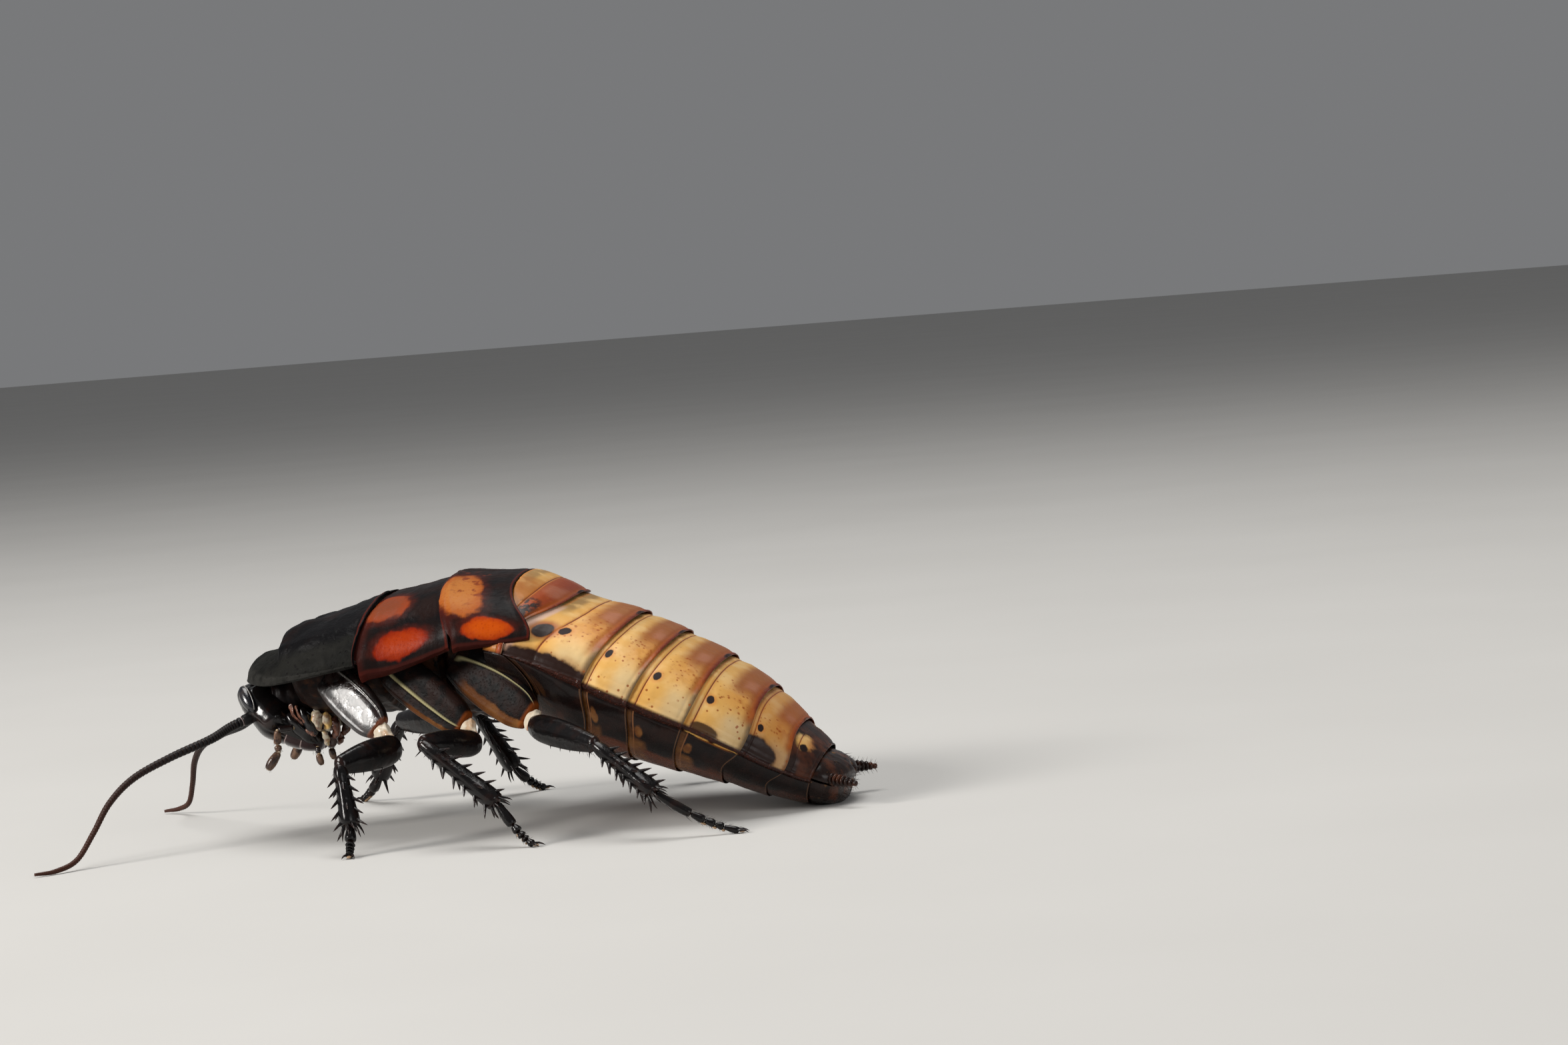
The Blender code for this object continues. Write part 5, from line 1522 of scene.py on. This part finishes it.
# The mouth's lobes on each side, which are the jaw, two folds, the stalk and its knob, two pale lobes, the
# outer lobe, the pale tip and the lower lip: the finish and half sizes of each, and its path
LOBES = (
    (2.0, 0.60, 0.85, ((-22.3, 2.6, 12.4), (-21.7, 2.7, 11.3), (-20.7, 2.2, 10.0), (-19.9, 1.3, 9.0))),
    (3.0, 0.16, 0.30, ((-21.8, 3.0, 13.4), (-21.7, 3.05, 12.5), (-21.1, 3.0, 11.6), (-20.3, 2.8, 10.9))),
    (3.0, 0.15, 0.28, ((-21.3, 3.05, 13.2), (-21.1, 3.1, 12.4), (-20.6, 3.1, 11.6), (-19.8, 2.9, 10.7))),
    (2.0, 0.46, 0.46, ((-20.8, 2.8, 12.9), (-20.5, 2.9, 11.9), (-20.0, 2.9, 10.9), (-19.4, 2.7, 10.1))),
    (3.0, 0.26, 0.30, ((-20.5, 2.8, 10.8), (-20.2, 2.9, 10.5), (-19.9, 2.9, 10.3), (-19.6, 2.7, 9.9))),
    (1.0, 0.62, 0.42, ((-19.6, 2.5, 12.5), (-19.3, 2.7, 11.8), (-19.2, 2.6, 11.1), (-19.2, 2.4, 10.4))),
    (1.0, 0.52, 0.42, ((-18.7, 2.2, 12.2), (-18.4, 2.4, 11.6), (-18.3, 2.3, 11.0), (-18.5, 2.1, 10.3))),
    (0.0, 0.48, 0.42, ((-17.9, 1.8, 11.7), (-17.6, 2.0, 11.0), (-17.6, 1.9, 10.2), (-18.0, 1.7, 9.4))),
    (1.5, 0.30, 0.34, ((-19.0, 2.2, 10.5), (-18.7, 2.3, 10.0), (-18.6, 2.2, 9.4), (-18.6, 2.0, 8.8))),
    (0.0, 0.34, 0.50, ((-18.7, 1.5, 9.9), (-18.3, 1.6, 9.5), (-18.2, 1.5, 9.0), (-18.4, 1.3, 8.5))),
)
CHIN = ((-20.0, 0, 12.4), (-19.2, 0, 11.4), (-18.9, 0, 10.0))


def mouthparts(look):
    """Jaws, inner lobes and lower lip, which show between the upper lip and the palps."""
    def creases(turn, t):
        return 0.035 * np.cos(t * 17 + 2 * np.sin(turn)) + 0.03 * np.cos(turn * 3 + t * 5)

    shape = Shape()
    for kind, wide, deep, path in LOBES:
        for side in (-1, 1):
            sizes = np.outer((0.75, 1.0, 0.95, 0.55), (wide, deep))
            limb(shape, [on_side(side, *p) for p in path], sizes, (0, 0.2, 1), 30, 30, kind, creases, 0.9)
    limb(shape, CHIN, [(1.2, 1.7), (1.0, 1.6), (0.7, 1.1)], (1, 0, 0.05), 22, 36)
    shape.finish("mouthparts", look, "mouthparts")


# Feelers

# From root to tip: a point of the left feeler, with Y taken outwards, and its radius
FEELER_PATH = np.array((
    (-25.9, 2.3, 12.3, 0.54),
    (-28.0, 3.7, 11.5, 0.52),
    (-29.8, 5.35, 10.5, 0.48),
    (-33.0, 8.7, 9.3, 0.42),
    (-35.9, 12.2, 7.8, 0.38),
    (-37.6, 15.2, 5.8, 0.34),
    (-38.6, 18.0, 3.2, 0.30),
    (-39.6, 20.6, 1.0, 0.28),
    (-41.0, 22.9, 0.32, 0.25),
    (-42.6, 24.6, 0.30, 0.15),
))
SCAPE_END = 0.08
FEELER_CUTS = (SCAPE_END, 0.40, 0.70, 1.0)
FEELER_RINGS = 88
RING_FORM = np.array((0.86, 0.95, 0.98, 1.0, 1.01, 0.99, 0.87))
feeler_curves = [curve(np.linspace(0, 1, len(FEELER_PATH)), FEELER_PATH[:, c]) for c in range(4)]


def feeler_at(t, side):
    """The feeler's middle and radius there. The right one reaches further forward and stays higher."""
    x, y, z, radius = (c(t) for c in feeler_curves)
    if side > 0:
        bend = t * t
        x, y, z = x - 1.5 * bend, y * (1 - 0.12 * bend), z + 3.0 * bend * (1 - t)
    return np.stack((x, side * y, z), -1), radius


def scape(shape, side):
    """The thick root joint, the short second one and the pale rings at their ends."""
    for start, stop, form, rows, around, kind, round_end in (
        (0.0, 0.062, (0.9, 1.08, 1.14, 1.12, 0.95), 22, 30, 0.0, 0.4),
        (0.058, 0.082, (1.02,) * 4, 14, 26, 0.0, 0.4),
        (-0.003, 0.009, (1.15,) * 3, 8, 30, -0.5, 0.5),
        (0.054, 0.066, (1.16,) * 3, 8, 30, -0.5, 0.5),
    ):
        points, radii = feeler_at(np.linspace(start, stop, len(form)), side)
        limb(shape, points, radii * np.array(form), UP, rows, around, kind, None, round_end)


def feeler_ring(shape, side, start, stop):
    """One ring, swelling a little towards its end, with five hairs round it."""
    points, radii = feeler_at(np.linspace(start, stop, len(RING_FORM)), side)
    radii = radii * RING_FORM * 0.97
    points[:, 2] = np.maximum(points[:, 2], radii)
    shares = np.linspace(0, 1, len(RING_FORM))
    tube(shape, points, np.stack((radii, radii), -1), UP, count(18), start, None, shares)
    direction = unit(points[-1] - points[0])
    away_at = spokes(direction, (0.1, 0.0, 1.0))
    for k in range(5):
        away = away_at(TURN * (k + draws.random()) / 5)
        root = points[4] + away * float(radii[4]) * 0.85
        hair(shape, root, root + away * 0.10 + direction * 0.14, 0.012, start, 0.01)


def feeler(side, look):
    """A root joint, and rings that grow longer towards the tip, in three lengths."""
    node = f"antenna_{side_word(side)}"
    shape = Shape()
    scape(shape, side)
    shape.finish(f"{node}_scape", look, "feeler")
    edges = SCAPE_END + np.linspace(0, 1, FEELER_RINGS + 1) ** 0.92 * (1 - SCAPE_END)
    for piece, (first, last) in enumerate(zip(FEELER_CUTS, FEELER_CUTS[1:]), 1):
        shape = Shape()
        for start, stop in zip(edges, edges[1:]):
            if first <= (start + stop) / 2 < last:
                feeler_ring(shape, side, start, stop)
        shape.finish(f"{node}_feeler_{piece}", look, "feeler")


def animal():
    thorax_plates()
    trunk()
    abdomen()
    tail()
    legs()
    head()
    neck()
    eye_look, mouth_look, feeler_look = eye_paint(), mouth_paint(), feeler_paint()
    mouthparts(mouth_look)
    for side in (-1, 1):
        eye(side, eye_look)
        feeler(side, feeler_look)
        for name in PALPS:
            palp(name, side, mouth_look)


# Camera, floor and light. These are in metres, in the solids' own frame.

CAMERA_PLACE = (0.10575, -0.42157, 0.0528)
CAMERA_AZIMUTH = 9.7
CAMERA_BACK = (0.1682, -0.9841, 0.0576)
CAMERA_ROLL = 4.5
CAMERA_LENS = 98.6
CAMERA_SENSOR = 36.0


def camera():
    """The photo's view: from the left, a little behind and above, leaning with the ground it stands on."""
    back = Vector(CAMERA_BACK).normalized()
    azimuth, roll = math.radians(CAMERA_AZIMUTH), math.radians(CAMERA_ROLL)
    level = Vector((math.cos(azimuth), math.sin(azimuth), 0))
    level = (level - back * level.dot(back)).normalized()
    upright = back.cross(level)
    right = level * math.cos(roll) - upright * math.sin(roll)
    up = level * math.sin(roll) + upright * math.cos(roll)
    data = bpy.data.cameras.new("camera")
    data.lens = CAMERA_LENS
    data.sensor_width = CAMERA_SENSOR
    data.clip_start = 0.01
    obj = link("camera", data)
    obj.matrix_world = Matrix.Translation(CAMERA_PLACE) @ Matrix((right, up, back)).transposed().to_4x4()
    bpy.context.scene.camera = obj


def floor():
    """A plain pale disc, far wider than the view."""
    mesh = bmesh.new()
    bmesh.ops.create_circle(mesh, cap_ends=True, segments=96, radius=FLOOR_RADIUS)
    data = bpy.data.meshes.new("floor")
    mesh.to_mesh(data)
    mesh.free()
    p = Paint("floor_finish")
    data.materials.append(p.done(p.mix(*FLOOR_COLOURS, p.noise(60.0, 3.0)), 0.75))
    link("floor", data)


# Each light's place, its width in metres, its power and its colour
LIGHTS = {
    "key": ((-0.60, -0.44, 0.37), 0.26, 7.0, (1.0, 0.97, 0.93)),
    "top": ((-0.05, 0.10, 0.80), 0.55, 5.2, (1.0, 0.99, 0.97)),
    "fill": ((0.75, -0.45, 0.30), 0.4, 1.6, (1.0, 1.0, 1.0)),
}
LIGHT_TARGET = (0.0, 0.0, 0.01)
SKY = (0.82, 0.83, 0.85, 1.0)
SKY_STRENGTH = 0.23
FLOOR_COLOURS = ((0.50, 0.49, 0.47), (0.55, 0.54, 0.52))
FLOOR_RADIUS = 4.0


def lights():
    for name, (place, width, power, colour) in LIGHTS.items():
        data = bpy.data.lights.new(name, "AREA")
        data.shape = "RECTANGLE"
        data.size = data.size_y = width
        data.energy = power
        data.color = colour
        turn = (Vector(place) - Vector(LIGHT_TARGET)).to_track_quat("Z", "Y").to_matrix().to_4x4()
        link(name, data).matrix_world = Matrix.Translation(place) @ turn
    world = bpy.data.worlds.new("sky")
    bpy.context.scene.world = world
    world.use_nodes = True
    shade = world.node_tree.nodes["Background"]
    shade.inputs["Color"].default_value = SKY
    shade.inputs["Strength"].default_value = SKY_STRENGTH
    bpy.context.scene.view_settings.view_transform = "Standard"


camera()
floor()
lights()
animal()
